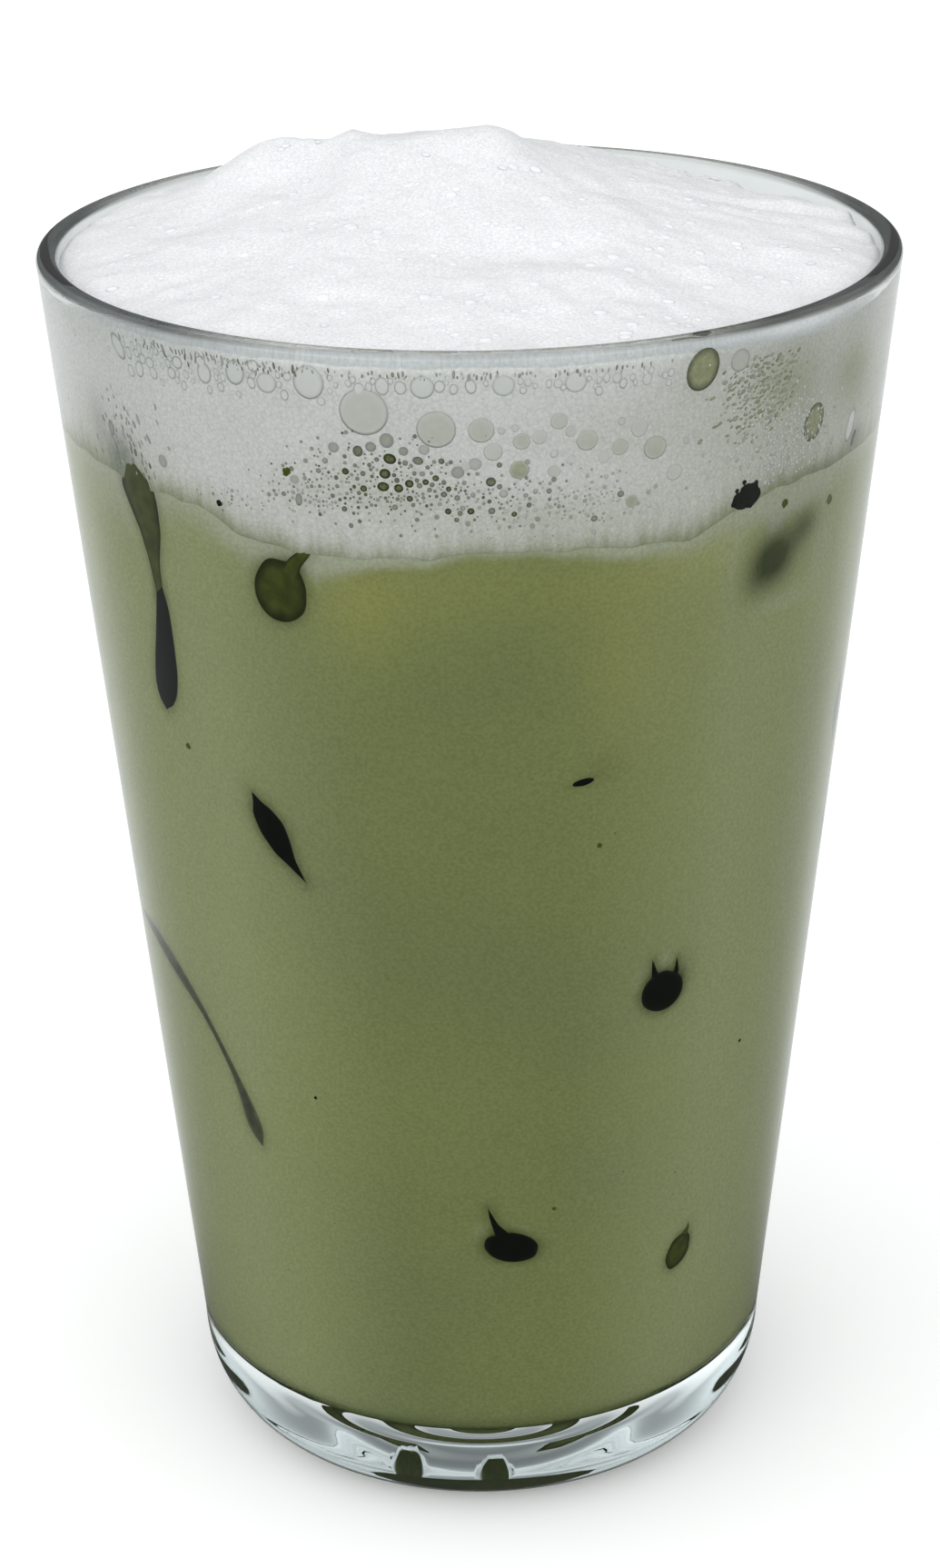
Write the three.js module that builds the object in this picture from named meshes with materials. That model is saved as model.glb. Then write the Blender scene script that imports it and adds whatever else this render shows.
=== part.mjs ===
// An iced matcha latte in a straight-sided glass tumbler, with a mound of milk foam on top.
// Sizes are in millimetres and +Z is up. The origin is the middle of the foot, on the table.
// Angles go round the glass from the front, which faces -Y, towards the right, which is +X.

import * as THREE from 'three';
import { mergeVertices } from 'three/addons/utils/BufferGeometryUtils.js';

// Glass
const GLASS_HEIGHT = 134.9;
const RIM_RADIUS = 44;
const WALL_THICKNESS = 2.15;
const HEEL_RADIUS = 32.1;
const HEEL_HEIGHT = 10.6;
const FOOT_OUTER_RADIUS = 24.5;
const FOOT_INNER_RADIUS = 20.5;
const RECESS_DEPTH = 0.8;
const RECESS_SLOPE = 1.4;
const LIP_ROUNDING = 0.75;
const FLOOR_HEIGHT = 10.6;
const FLOOR_CORNER = 3;

// Drink and foam
const GAP = 0.3;
const FOAM_LINE_AT_SIDES = 117.4;
const FOAM_LINE_DIP_IN_FRONT = 2.9;
const FOAM_LINE_DIP_HALF_ANGLE = 35;
const FOAM_LINE_WAVE = 0.35;
const FOAM_BELOW_RIM = 1.2;
const FOAM_CROWN = 2.2;
const FLAT_MIDDLE_SHARE = 0.35;

// Where the foam meets the glass lower than elsewhere: at an angle, over a reach in degrees, by a depth.
const EDGE_DROPS = [
  { at: 125, reach: 32, depth: 1.8 },
  { at: -130, reach: 45, depth: 0.8 },
  { at: 48, reach: 16, depth: 1.0 },
];

// The notches that the foam's edge is broken into at the back right.
const NOTCH_DEPTH = 0.5;
const NOTCH_COUNT_ROUND = 14;

// Mounds of foam: centre, height, and reach to the left, to the right and to front and back.
const MOUNDS = [
  { x: -1, y: 10, height: 5.4, left: 21, right: 23, depth: 22 },
  { x: 3.6, y: 7.5, height: 1.8, left: 6.5, right: 3, depth: 6 },
  { x: -11.6, y: 9.4, height: 1.5, left: 2, right: 8.8, depth: 11.7 },
  { x: -20.7, y: 13.2, height: 3.4, left: 8.9, right: 7.3, depth: 6.2 },
  { x: 6, y: -17, height: -0.8, left: 9, right: 9, depth: 4 },
];

// How finely the round shapes are divided
const SEGMENTS = 72;
const HEEL_STEPS = 6;
const CORNER_STEPS = 3;
const LIP_STEPS = 3;
const FOAM_RINGS = 13;
const DRINK_RINGS = 3;

const WALL_LEAN = (RIM_RADIUS - HEEL_RADIUS) / (GLASS_HEIGHT - LIP_ROUNDING - HEEL_HEIGHT);
const FLOOR_LEVEL_IN_PUCK = 0;
const TOP_LEVEL_IN_PUCK = 1;

/** Radius of the glass's outer wall at a height. */
function outerRadius(height) {
  return HEEL_RADIUS + WALL_LEAN * (height - HEEL_HEIGHT);
}

/** Radius of the glass's inner wall at a height. */
function innerRadius(height) {
  return outerRadius(height) - WALL_THICKNESS;
}

/** Points of a quarter ellipse from one angle to another, in radians, both ends included. */
function arc(centreRadius, centreHeight, across, up, from, to, steps) {
  const points = [];
  for (let i = 0; i <= steps; i += 1) {
    const angle = THREE.MathUtils.lerp(from, to, i / steps);
    const radius = centreRadius + across * Math.cos(angle);
    points.push(new THREE.Vector2(radius, centreHeight + up * Math.sin(angle)));
  }
  return points;
}

/** Turns an outline round +Z and welds its seam and poles, so that it is one closed body. */
function revolve(outline) {
  const lathe = new THREE.LatheGeometry(outline, SEGMENTS);
  lathe.rotateX(Math.PI / 2);
  lathe.deleteAttribute('normal');
  lathe.deleteAttribute('uv');
  return mergeVertices(lathe);
}

/** The tumbler: foot ring, rounded heel, leaning wall, rounded lip and thick floor. */
function glassGeometry() {
  const quarter = Math.PI / 2;
  const lipHeight = GLASS_HEIGHT - LIP_ROUNDING;
  const lipOuter = outerRadius(lipHeight) - LIP_ROUNDING;
  const lipInner = innerRadius(lipHeight) + LIP_ROUNDING;
  const cornerHeight = FLOOR_HEIGHT + FLOOR_CORNER;
  const cornerRadius = innerRadius(cornerHeight) - FLOOR_CORNER;
  const heelAcross = HEEL_RADIUS - FOOT_OUTER_RADIUS;
  const outline = [
    new THREE.Vector2(0, RECESS_DEPTH),
    new THREE.Vector2(FOOT_INNER_RADIUS - RECESS_SLOPE, RECESS_DEPTH),
    new THREE.Vector2(FOOT_INNER_RADIUS, 0),
    ...arc(FOOT_OUTER_RADIUS, HEEL_HEIGHT, heelAcross, HEEL_HEIGHT, -quarter, 0, HEEL_STEPS),
    ...arc(lipOuter, lipHeight, LIP_ROUNDING, LIP_ROUNDING, 0, quarter, LIP_STEPS),
    ...arc(lipInner, lipHeight, LIP_ROUNDING, LIP_ROUNDING, quarter, 2 * quarter, LIP_STEPS),
    ...arc(cornerRadius, cornerHeight, FLOOR_CORNER, FLOOR_CORNER, 0, -quarter, CORNER_STEPS),
    new THREE.Vector2(0, FLOOR_HEIGHT),
  ];
  const geometry = revolve(outline);
  geometry.computeVertexNormals();
  return geometry;
}

/** Smallest difference between two angles in degrees. */
function angleBetween(first, second) {
  const turn = Math.abs(first - second) % 360;
  return Math.min(turn, 360 - turn);
}

/** Height of the line between drink and foam at an angle in degrees: lower in front, gently wavy. */
function foamLine(angle) {
  const half = FOAM_LINE_DIP_HALF_ANGLE;
  const inFront = 1 - THREE.MathUtils.smoothstep(Math.abs(angle), half - 7, half + 7);
  const radians = THREE.MathUtils.degToRad(angle);
  const wave = Math.sin(5 * radians + 1) + 0.6 * Math.sin(9 * radians);
  return FOAM_LINE_AT_SIDES - FOAM_LINE_DIP_IN_FRONT * inFront + FOAM_LINE_WAVE * wave;
}

/** Height of the foam's underside at a share of the inner radius and an angle in degrees. */
function foamUnderside(share, angle) {
  return THREE.MathUtils.lerp(FOAM_LINE_AT_SIDES, foamLine(angle), share ** 2);
}

/** Height of the foam's edge against the glass at an angle in degrees. */
function foamEdge(angle) {
  let height = GLASS_HEIGHT - FOAM_BELOW_RIM;
  for (const drop of EDGE_DROPS) {
    height -= drop.depth * Math.exp(-((angleBetween(angle, drop.at) / drop.reach) ** 2));
  }
  const notched = Math.exp(-((angleBetween(angle, EDGE_DROPS[0].at) / EDGE_DROPS[0].reach) ** 2));
  const radians = THREE.MathUtils.degToRad(angle);
  return height - NOTCH_DEPTH * notched * Math.sin(NOTCH_COUNT_ROUND * radians);
}

/** Height of the foam's top at a share of the inner radius and an angle in degrees. */
function foamTop(share, angle) {
  const radians = THREE.MathUtils.degToRad(angle);
  const reach = share * innerRadius(GLASS_HEIGHT);
  const x = reach * Math.sin(radians);
  const y = -reach * Math.cos(radians);
  const nearEdge = THREE.MathUtils.smoothstep(share, FLAT_MIDDLE_SHARE, 1);
  const middle = GLASS_HEIGHT - FOAM_BELOW_RIM;
  let height = THREE.MathUtils.lerp(middle, foamEdge(angle), nearEdge);
  height += (FOAM_CROWN + FOAM_BELOW_RIM) * (1 - share ** 2);
  for (const mound of MOUNDS) {
    const across = (x - mound.x) / (x < mound.x ? mound.left : mound.right);
    const along = (y - mound.y) / mound.depth;
    height += mound.height * Math.exp(-(across ** 2) - along ** 2);
  }
  return height;
}

/**
 * A puck of radius 1 and height 1, turned, then set into the glass: its radius becomes a share of
 * the room inside the wall, and its floor and top follow two functions of share and angle.
 */
function fillGlass(lowerOutline, rings, floorAt, topAt) {
  const outline = [...lowerOutline];
  for (let ring = 0; ring <= rings; ring += 1) {
    outline.push(new THREE.Vector2(1 - ring / rings, TOP_LEVEL_IN_PUCK));
  }
  const geometry = revolve(outline);
  const position = geometry.getAttribute('position');
  for (let i = 0; i < position.count; i += 1) {
    const share = Math.hypot(position.getX(i), position.getY(i));
    const radians = Math.atan2(position.getX(i), -position.getY(i));
    const angle = THREE.MathUtils.radToDeg(radians);
    const level = position.getZ(i);
    const height = THREE.MathUtils.lerp(floorAt(share, angle), topAt(share, angle), level);
    const reach = share * (innerRadius(height) - GAP);
    position.setXYZ(i, reach * Math.sin(radians), -reach * Math.cos(radians), height);
  }
  geometry.computeVertexNormals();
  return geometry;
}

/** The drink: rounded at the floor of the glass, and full up to the foam. */
function drinkGeometry() {
  const surface = (share, angle) => foamUnderside(share, angle) - GAP;
  const floor = FLOOR_HEIGHT + GAP;
  const across = FLOOR_CORNER / innerRadius(FLOOR_HEIGHT + FLOOR_CORNER);
  const up = FLOOR_CORNER / (FOAM_LINE_AT_SIDES - floor);
  const corner = arc(1 - across, up, across, up, -Math.PI / 2, 0, CORNER_STEPS);
  const lowerOutline = [new THREE.Vector2(0, FLOOR_LEVEL_IN_PUCK), ...corner];
  return fillGlass(lowerOutline, DRINK_RINGS, () => floor, surface);
}

/** The milk foam: it lies on the drink, fills the mouth of the glass and rises above the rim. */
function foamGeometry() {
  const lowerOutline = [];
  for (let ring = 0; ring <= DRINK_RINGS; ring += 1) {
    lowerOutline.push(new THREE.Vector2(ring / DRINK_RINGS, FLOOR_LEVEL_IN_PUCK));
  }
  return fillGlass(lowerOutline, FOAM_RINGS, foamUnderside, foamTop);
}

/** A named mesh with its own finish. */
function piece(name, geometry, finish) {
  const mesh = new THREE.Mesh(geometry, new THREE.MeshStandardMaterial(finish));
  mesh.name = name;
  return mesh;
}

const latte = new THREE.Group();
latte.add(piece('glass', glassGeometry(), {
  color: 0xdde5e2,
  roughness: 0.05,
  metalness: 0,
  transparent: true,
  opacity: 0.35,
}));
latte.add(piece('drink', drinkGeometry(), { color: 0x9aa676, roughness: 0.35, metalness: 0 }));
latte.add(piece('milk_foam', foamGeometry(), { color: 0xf1f2f0, roughness: 0.75, metalness: 0 }));

export default latte;
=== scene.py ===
"""An iced matcha latte in a straight-sided tumbler, with milk foam heaped above the rim.

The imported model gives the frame. Every piece is modelled in millimetres, in the frame's own axes,
and written in metres. The photographed side faces -Y, and angles on the glass go round +Z from that
front towards the right.
"""

import logging
import math
from collections.abc import Sequence
from dataclasses import dataclass, field
from enum import Enum

import bmesh
import bpy
import numpy as np
from mathutils import Matrix, Vector


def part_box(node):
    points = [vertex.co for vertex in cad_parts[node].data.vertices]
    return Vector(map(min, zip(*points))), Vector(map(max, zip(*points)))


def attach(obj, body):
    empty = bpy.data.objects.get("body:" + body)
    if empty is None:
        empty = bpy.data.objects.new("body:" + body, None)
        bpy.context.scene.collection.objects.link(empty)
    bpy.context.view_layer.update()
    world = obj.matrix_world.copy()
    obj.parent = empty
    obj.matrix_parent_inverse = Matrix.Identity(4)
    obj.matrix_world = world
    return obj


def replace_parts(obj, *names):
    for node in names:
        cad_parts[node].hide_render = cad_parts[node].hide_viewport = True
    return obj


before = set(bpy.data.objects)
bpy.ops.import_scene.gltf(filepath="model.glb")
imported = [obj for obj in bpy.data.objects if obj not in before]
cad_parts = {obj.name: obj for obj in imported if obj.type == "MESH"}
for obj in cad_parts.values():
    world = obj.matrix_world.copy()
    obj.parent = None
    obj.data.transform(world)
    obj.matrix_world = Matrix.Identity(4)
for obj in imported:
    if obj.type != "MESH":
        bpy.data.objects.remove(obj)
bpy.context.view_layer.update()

log = logging.getLogger("latte")

MM = 0.001
BODY = "root"
PHOTO_HEIGHT_PX = 1726
# Degrees from the front between which milk clouds the drink more and more
CLOUDY_SIDES = (10, 36)

Point = tuple[float, float]
Values = np.ndarray | float
Tree = bpy.types.NodeTree
Node = bpy.types.Node
Socket = bpy.types.NodeSocket
Piece = bpy.types.Object
Mesh = bpy.types.Mesh
Material = bpy.types.Material
Array = np.ndarray

# Settings that several nodes share
SMOOTH = {"interpolation_type": "SMOOTHSTEP"}
IN_COLOUR = {"data_type": "RGBA"}
SUM = {"operation": "ADD"}
PRODUCT = {"operation": "MULTIPLY"}
SCALED = {"operation": "SCALE"}


class Slot(Enum):
    """Names of material slots."""

    GLASS = "clear_glass"
    DRINK = "matcha_milk"
    FOAM = "milk_foam"


def linear(colour: str) -> tuple[float, float, float, float]:
    """Turns an sRGB hex colour into linear light.

    Args:
        colour: Six hex digits, such as "8fa06a".

    Returns:
        Red, green, blue and an alpha of 1.
    """
    parts = [int(colour[i:i + 2], 16) / 255 for i in (0, 2, 4)]
    light = [c / 12.92 if c <= 0.04045 else ((c + 0.055) / 1.055) ** 2.4 for c in parts]
    return (light[0], light[1], light[2], 1.0)


def smooth_step(low: float, high: float, value: Values) -> Values:
    """Rises smoothly from 0 at low to 1 at high."""
    t = np.clip((value - low) / (high - low), 0.0, 1.0)
    return t * t * (3 - 2 * t)


def mix(first: Values, second: Values, share: Values) -> Values:
    """Goes from first at share 0 to second at share 1."""
    return first + (second - first) * share


def bell(value: Values, centre: float, reach: float) -> Values:
    """A bell curve: 1 at the centre, and 1/e at the reach."""
    return np.exp(-(((value - centre) / reach) ** 2))


def angle_between(first: Values, second: Values) -> Values:
    """The smallest difference between two angles in degrees, with its sign."""
    return (first - second + 180) % 360 - 180


@dataclass(frozen=True)
class Swell:
    """Smooth random values between -1 and 1 over a plane, the same on every run."""

    seed: int
    cell: Point
    around: int = 128
    rows: int = 128

    def at(self, across: Values, along: Values) -> Values:
        """The values at some places.

        Args:
            across: Places along the first axis, which repeats after so many cells.
            along: Places along the second axis.

        Returns:
            A value for each place.
        """
        lattice = np.random.default_rng(self.seed).uniform(-1, 1, (self.around, self.rows))
        u, v = np.asarray(across) / self.cell[0], np.asarray(along) / self.cell[1]
        left, low = np.floor(u).astype(int), np.floor(v).astype(int)
        right_share, high_share = smooth_step(0, 1, u - left), smooth_step(0, 1, v - low)

        def corner(step: int, rise: int) -> Array:
            """The lattice's value at one corner of each place's cell."""
            return lattice[(left + step) % self.around, (low + rise) % self.rows]

        below = mix(corner(0, 0), corner(1, 0), right_share)
        above = mix(corner(0, 1), corner(1, 1), right_share)
        return mix(below, above, high_share)


def add_node(
    tree: Tree, kind: str, settings: dict | None = None, inputs: dict | Sequence = ()
) -> Node:
    """Adds a node with its settings, its values and its links.

    Args:
        tree: The node tree that gets the node.
        kind: The node's type after "ShaderNode", such as "TexNoise".
        settings: Names and values of the node's own properties.
        inputs: A value to set, or a socket or a node's first socket to link, for each input, by its
            name or number or in the inputs' order.

    Returns:
        The new node.
    """
    node = tree.nodes.new(f"ShaderNode{kind}")
    for name, value in (settings or {}).items():
        setattr(node, name, value)
    for name, value in inputs.items() if isinstance(inputs, dict) else enumerate(inputs):
        if isinstance(value, Node):
            value = next(socket for socket in value.outputs if socket.enabled)
        if isinstance(value, Socket):
            tree.links.new(value, node.inputs[name])
        else:
            node.inputs[name].default_value = value
    return node


def new_material(name: str, *kept: str) -> tuple[Material, Tree, list[Socket]]:
    """Starts a material, with a reader for each number that it takes from the mesh.

    Args:
        name: The material's name.
        *kept: The names that the numbers are kept under.

    Returns:
        The material, its tree, and the readers' sockets.
    """
    material = bpy.data.materials.new(name)
    material.use_nodes = True
    tree = material.node_tree
    tree.nodes.clear()
    readers = [add_node(tree, "Attribute", {"attribute_name": key}).outputs["Fac"] for key in kept]
    return material, tree, readers


def close_material(tree: Tree, inputs: dict) -> None:
    """Ends a material with one shader that has the given inputs."""
    shader = add_node(tree, "BsdfPrincipled", inputs=inputs)
    add_node(tree, "OutputMaterial", inputs={"Surface": shader})


def layer_colours(tree: Tree, base: str, layers: Sequence[tuple[Socket | Node, str]]) -> Node:
    """Lays colours over one another.

    Args:
        tree: The material's tree.
        base: The hex colour at the bottom.
        layers: For each layer what gives its amount, and its hex colour.

    Returns:
        The node with the colour on top.
    """
    colour = linear(base)
    for amount, tone in layers:
        inputs = {"Factor": amount, "A": colour, "B": linear(tone)}
        colour = add_node(tree, "Mix", IN_COLOUR, inputs)
    return colour


def noise_at(tree: Tree, size_mm: float, detail: float = 1.0, squash: float = 1.0) -> Node:
    """Adds noise in the object's own space.

    Args:
        tree: The material's tree.
        size_mm: Size of its swells in millimetres.
        detail: Octaves of finer noise.
        squash: Below 1, draws the noise out upwards.

    Returns:
        The node with values around 0.5.
    """
    place = add_node(tree, "TexCoord").outputs["Object"]
    drawn = add_node(tree, "Mapping", inputs={"Vector": place, "Scale": (1.0, 1.0, squash)})
    inputs = {"Vector": drawn, "Scale": 1 / (size_mm * MM), "Detail": detail}
    return add_node(tree, "TexNoise", inputs=inputs)


def feather(tree: Tree, amount: Socket, size_mm: float, depth: float, span: Point) -> Node:
    """Breaks the edge of a patch into the upright fringes that milk makes in tea.

    Args:
        tree: The material's tree.
        amount: How strong the patch is, 0 outside it.
        size_mm: Width of a fringe in millimetres.
        depth: How much the fringes add to the amount or take from it.
        span: The amounts at which the patch begins and is whole.

    Returns:
        The node with the feathered amount.
    """
    noise = noise_at(tree, size_mm, 2.0, 0.12)
    fringe = add_node(tree, "MapRange", SMOOTH, (noise, 0.25, 0.75, -depth, depth))
    ragged = add_node(tree, "Math", SUM, (amount, fringe))
    patch = add_node(tree, "MapRange", SMOOTH, (ragged, *span))
    near = add_node(tree, "MapRange", SMOOTH, (amount, 0.0, 0.15))
    return add_node(tree, "Math", PRODUCT, (patch, near))


@dataclass(frozen=True)
class TumblerShape:
    """The tumbler's outline, in millimetres. Its height and rim come from the frame."""

    height: float
    rim_radius: float
    wall: float = 2.15
    heel_radius: float = 32.1
    heel_height: float = 10.6
    foot_outer: float = 24.5
    foot_inner: float = 20.5
    recess: float = 0.8
    recess_slope: float = 1.4
    lip: float = 0.75
    floor: float = 10.6
    floor_corner: float = 3.0

    def outer(self, height: Values) -> Values:
        """The outer wall's radius at a height."""
        lean = (self.rim_radius - self.heel_radius) / (self.height - self.lip - self.heel_height)
        return self.heel_radius + lean * (height - self.heel_height)

    def inner(self, height: Values) -> Values:
        """The inner wall's radius at a height."""
        return self.outer(height) - self.wall

    @property
    def mouth(self) -> float:
        """The inner wall's radius at the rim."""
        return self.inner(self.height)

    def wall_points(self, angle: Values, height: Values, proud: Values = 0.0) -> Array:
        """Points on the inner wall.

        Args:
            angle: Degrees round from the front, towards the right.
            height: Height above the table.
            proud: How far the points lie into the glass.

        Returns:
            The points in millimetres, one in each row.
        """
        radius = self.inner(height) + proud
        turn = np.radians(angle)
        parts = np.broadcast_arrays(radius * np.sin(turn), -radius * np.cos(turn), height)
        return np.stack(parts, axis=-1)


@dataclass(frozen=True)
class Mound:
    """A rise of foam: its centre, its height, and its reach to each side and to front and back."""

    x: float
    y: float
    height: float
    left: float
    right: float
    depth: float

    def at(self, x: Values, y: Values) -> Values:
        """The mound's own height at a place."""
        across = (x - self.x) / np.where(x < self.x, self.left, self.right)
        return self.height * np.exp(-across * across - ((y - self.y) / self.depth) ** 2)


@dataclass(frozen=True)
class EdgeDrop:
    """A stretch where the foam meets the glass lower than elsewhere, in degrees and millimetres."""

    angle: float
    reach: float
    depth: float

    def share(self, angle: Values) -> Values:
        """How much of the drop there is at an angle."""
        return bell(angle_between(angle, self.angle), 0, self.reach)


@dataclass(frozen=True)
class FoamShape:
    """The foam's form over the drink, in millimetres, as the solid of the frame has it."""

    glass: TumblerShape
    line_at_sides: float = 117.4
    line_dip: float = 2.9
    line_half_angle: float = 35.0
    line_turn: float = 7.0
    line_wave: float = 0.35
    below_rim: float = 1.2
    crown: float = 2.2
    flat_middle: float = 0.35
    notch_depth: float = 0.9
    shoulder_width: float = 1.0
    shoulder_drop: float = 0.9
    smooth_edge: float = 0.93
    back_right: EdgeDrop = EdgeDrop(125, 32, 0.9)
    other_drops: tuple[EdgeDrop, ...] = (
        EdgeDrop(-130, 45, 0.3), EdgeDrop(48, 16, 1.0), EdgeDrop(180, 70, -0.7),
    )
    mounds: tuple[Mound, ...] = (
        Mound(-1, 10, 5.4, 21, 23, 22),
        Mound(3.6, 7.5, 1.8, 6.5, 3, 6),
        Mound(-11.6, 9.4, 1.5, 2, 8.8, 11.7),
        Mound(-20.7, 13.2, 3.4, 8.9, 7.3, 6.2),
        Mound(6, -17, -0.8, 9, 9, 4),
    )
    relief: tuple[tuple[Swell, float], ...] = (
        (Swell(1, (7.0, 7.0)), 0.42),
        (Swell(2, (2.4, 2.4)), 0.16),
        (Swell(3, (0.9, 0.9)), 0.06),
    )

    def line(self, angle: Values) -> Values:
        """The line between drink and foam, where it meets the glass.

        Args:
            angle: Degrees round from the front.

        Returns:
            The line's height.
        """
        half, turn = self.line_half_angle, np.radians(angle)
        in_front = 1 - smooth_step(half - self.line_turn, half + self.line_turn, np.abs(angle))
        wave = np.sin(5 * turn + 1) + 0.6 * np.sin(9 * turn)
        fine = 0.3 * Swell(4, (3.0, 1.0), 120).at(angle, 0.0)
        return self.line_at_sides - self.line_dip * in_front + self.line_wave * wave + fine

    def underside(self, share: Values, angle: Values) -> Values:
        """The height of the foam's underside at a share of the inner radius and an angle."""
        return mix(self.line_at_sides, self.line(angle), share * share)

    def edge(self, angle: Values) -> Values:
        """The foam's top close to the glass, broken into notches at the back right.

        Args:
            angle: Degrees round from the front.

        Returns:
            The top's height.
        """
        height = self.glass.height - self.below_rim
        for drop in (self.back_right, *self.other_drops):
            height = height - drop.depth * drop.share(angle)
        coarse, fine = Swell(5, (5.0, 1.0), 72), Swell(6, (2.0, 1.0), 180)
        broken = coarse.at(angle, 0.0) + 0.6 * fine.at(angle, 0.0)
        return height - self.notch_depth * (0.15 + self.back_right.share(angle)) * (0.5 - broken)

    def shoulder(self, share: Values) -> Values:
        """How far the foam has rounded down towards the glass."""
        near = np.clip(1 - (1 - share) * self.glass.mouth / self.shoulder_width, 0, 1)
        return self.shoulder_drop * (1 - np.sqrt(1 - near * near))

    def top(self, share: Values, angle: Values) -> Values:
        """The foam's top.

        Args:
            share: How far out the place is, as a share of the inner radius.
            angle: Degrees round from the front.

        Returns:
            The top's height.
        """
        turn, reach = np.radians(angle), share * self.glass.mouth
        x, y = reach * np.sin(turn), -reach * np.cos(turn)
        near_edge = smooth_step(self.flat_middle, 1, share)
        height = mix(self.glass.height - self.below_rim, self.edge(angle), near_edge)
        height = height + (self.crown + self.below_rim) * (1 - share * share)
        height = height + sum(mound.at(x, y) for mound in self.mounds)
        relief = sum(amount * swell.at(x, y) for swell, amount in self.relief)
        return height + relief * (1 - smooth_step(self.smooth_edge, 1, share)) - self.shoulder(share)

    def top_points(self, x: Values, y: Values) -> Array:
        """The points of the foam's top above some places in the plane."""
        share = np.hypot(x, y) / self.glass.mouth
        return np.stack([x, y, self.top(share, np.degrees(np.arctan2(x, -y)))], axis=-1)


def frame_shapes() -> tuple[TumblerShape, FoamShape]:
    """Reads the tumbler's height and rim from the frame.

    Returns:
        The shapes of the tumbler and the foam.
    """
    low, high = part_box("glass")
    glass = TumblerShape(height=(high.z - low.z) / MM, rim_radius=(high.x - low.x) / MM / 2)
    return glass, FoamShape(glass)


def arc(centre: Point, across: float, up: float, turn: Point, steps: int) -> list[Point]:
    """Points along part of an ellipse.

    Args:
        centre: Radius and height of the ellipse's centre.
        across: Its half width.
        up: Its half height.
        turn: First and last angle in degrees, from straight out, both kept.
        steps: Number of steps between them.

    Returns:
        The points as radius and height.
    """
    angles = [math.radians(mix(turn[0], turn[1], i / steps)) for i in range(steps + 1)]
    return [(centre[0] + across * math.cos(a), centre[1] + up * math.sin(a)) for a in angles]


def stretch(first: Point, last: Point, steps: int) -> list[Point]:
    """Evenly spaced points between two, without the two themselves."""
    shares = [i / steps for i in range(1, steps)]
    return [(mix(first[0], last[0], share), mix(first[1], last[1], share)) for share in shares]


def spin(outline: Sequence[Point], steps: int) -> bmesh.types.BMesh:
    """Spins an outline from axis to axis once round +Z into a closed skin.

    Args:
        outline: Points as radius and height, the first and the last on the axis.
        steps: Number of steps round.

    Returns:
        The closed skin, facing out.
    """
    bm = bmesh.new()
    line = [bm.verts.new((radius, 0, height)) for radius, height in outline]
    edges = [bm.edges.new(pair) for pair in zip(line, line[1:])]
    bmesh.ops.spin(
        bm, geom=line + edges, cent=(0, 0, 0), axis=(0, 0, 1), dvec=(0, 0, 0),
        angle=2 * math.pi, steps=steps, use_merge=True,
    )
    bmesh.ops.remove_doubles(bm, verts=bm.verts, dist=1e-4)
    bmesh.ops.recalc_face_normals(bm, faces=bm.faces)
    return bm


def to_mesh(name: str, bm: bmesh.types.BMesh) -> Mesh:
    """Writes a bmesh to a mesh and frees it.

    Args:
        name: The mesh's name.
        bm: The bmesh.

    Returns:
        The mesh.
    """
    mesh = bpy.data.meshes.new(name)
    bm.to_mesh(mesh)
    bm.free()
    return mesh


def read_points(mesh: Mesh) -> Array:
    """The mesh's points, one in each row."""
    return np.array([vertex.co for vertex in mesh.vertices], dtype=float)


def write_points(mesh: Mesh, points: Array) -> None:
    """Moves the mesh's points to places given in millimetres."""
    mesh.vertices.foreach_set("co", (points * MM).astype(np.float32).ravel())
    mesh.update()


def store(mesh: Mesh, name: str, values: Array) -> None:
    """Keeps one number for each vertex of a mesh under a name that materials read."""
    kept = mesh.attributes.new(name, "FLOAT", "POINT")
    kept.data.foreach_set("value", np.asarray(values, dtype=np.float32))


def dress(name: str, mesh: Mesh, material: Material) -> Piece:
    """Makes an object of a finished mesh and says what it rides on.

    Args:
        name: The piece's name.
        mesh: Its mesh, in metres.
        material: Its finish.

    Returns:
        The piece.
    """
    mesh.shade_smooth()
    mesh.materials.append(material)
    piece = bpy.data.objects.new(name, mesh)
    bpy.context.scene.collection.objects.link(piece)
    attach(piece, BODY)
    log.info("%s: %d faces", name, len(mesh.polygons))
    return piece


@dataclass
class Filling:
    """A puck of radius 1 and height 1 that is set into the glass, so that it fills it."""

    name: str
    outline: Sequence[Point]
    steps_round: int

    def __post_init__(self) -> None:
        """Spins the puck and reads where its points are."""
        self.mesh = to_mesh(self.name, spin(self.outline, self.steps_round))
        x, y, self.level = read_points(self.mesh).T
        self.share, self.turn = np.hypot(x, y), np.arctan2(x, -y)
        self.angle = np.degrees(self.turn)

    def fill(self, glass: TumblerShape, height: Array, proud: float) -> None:
        """Moves the points into the glass.

        Args:
            glass: The tumbler.
            height: Each point's new height.
            proud: How far the outermost points lie into the glass.
        """
        reach = self.share * (glass.inner(height) + proud)
        points = [reach * np.sin(self.turn), -reach * np.cos(self.turn), height]
        write_points(self.mesh, np.stack(points, axis=-1))

    def store(self, on: Array, **kept: Array) -> None:
        """Keeps numbers on the mesh, each held between 0 and 1, where on is 1."""
        for name, values in kept.items():
            store(self.mesh, name, np.clip(values, 0, 1) * on)


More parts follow.
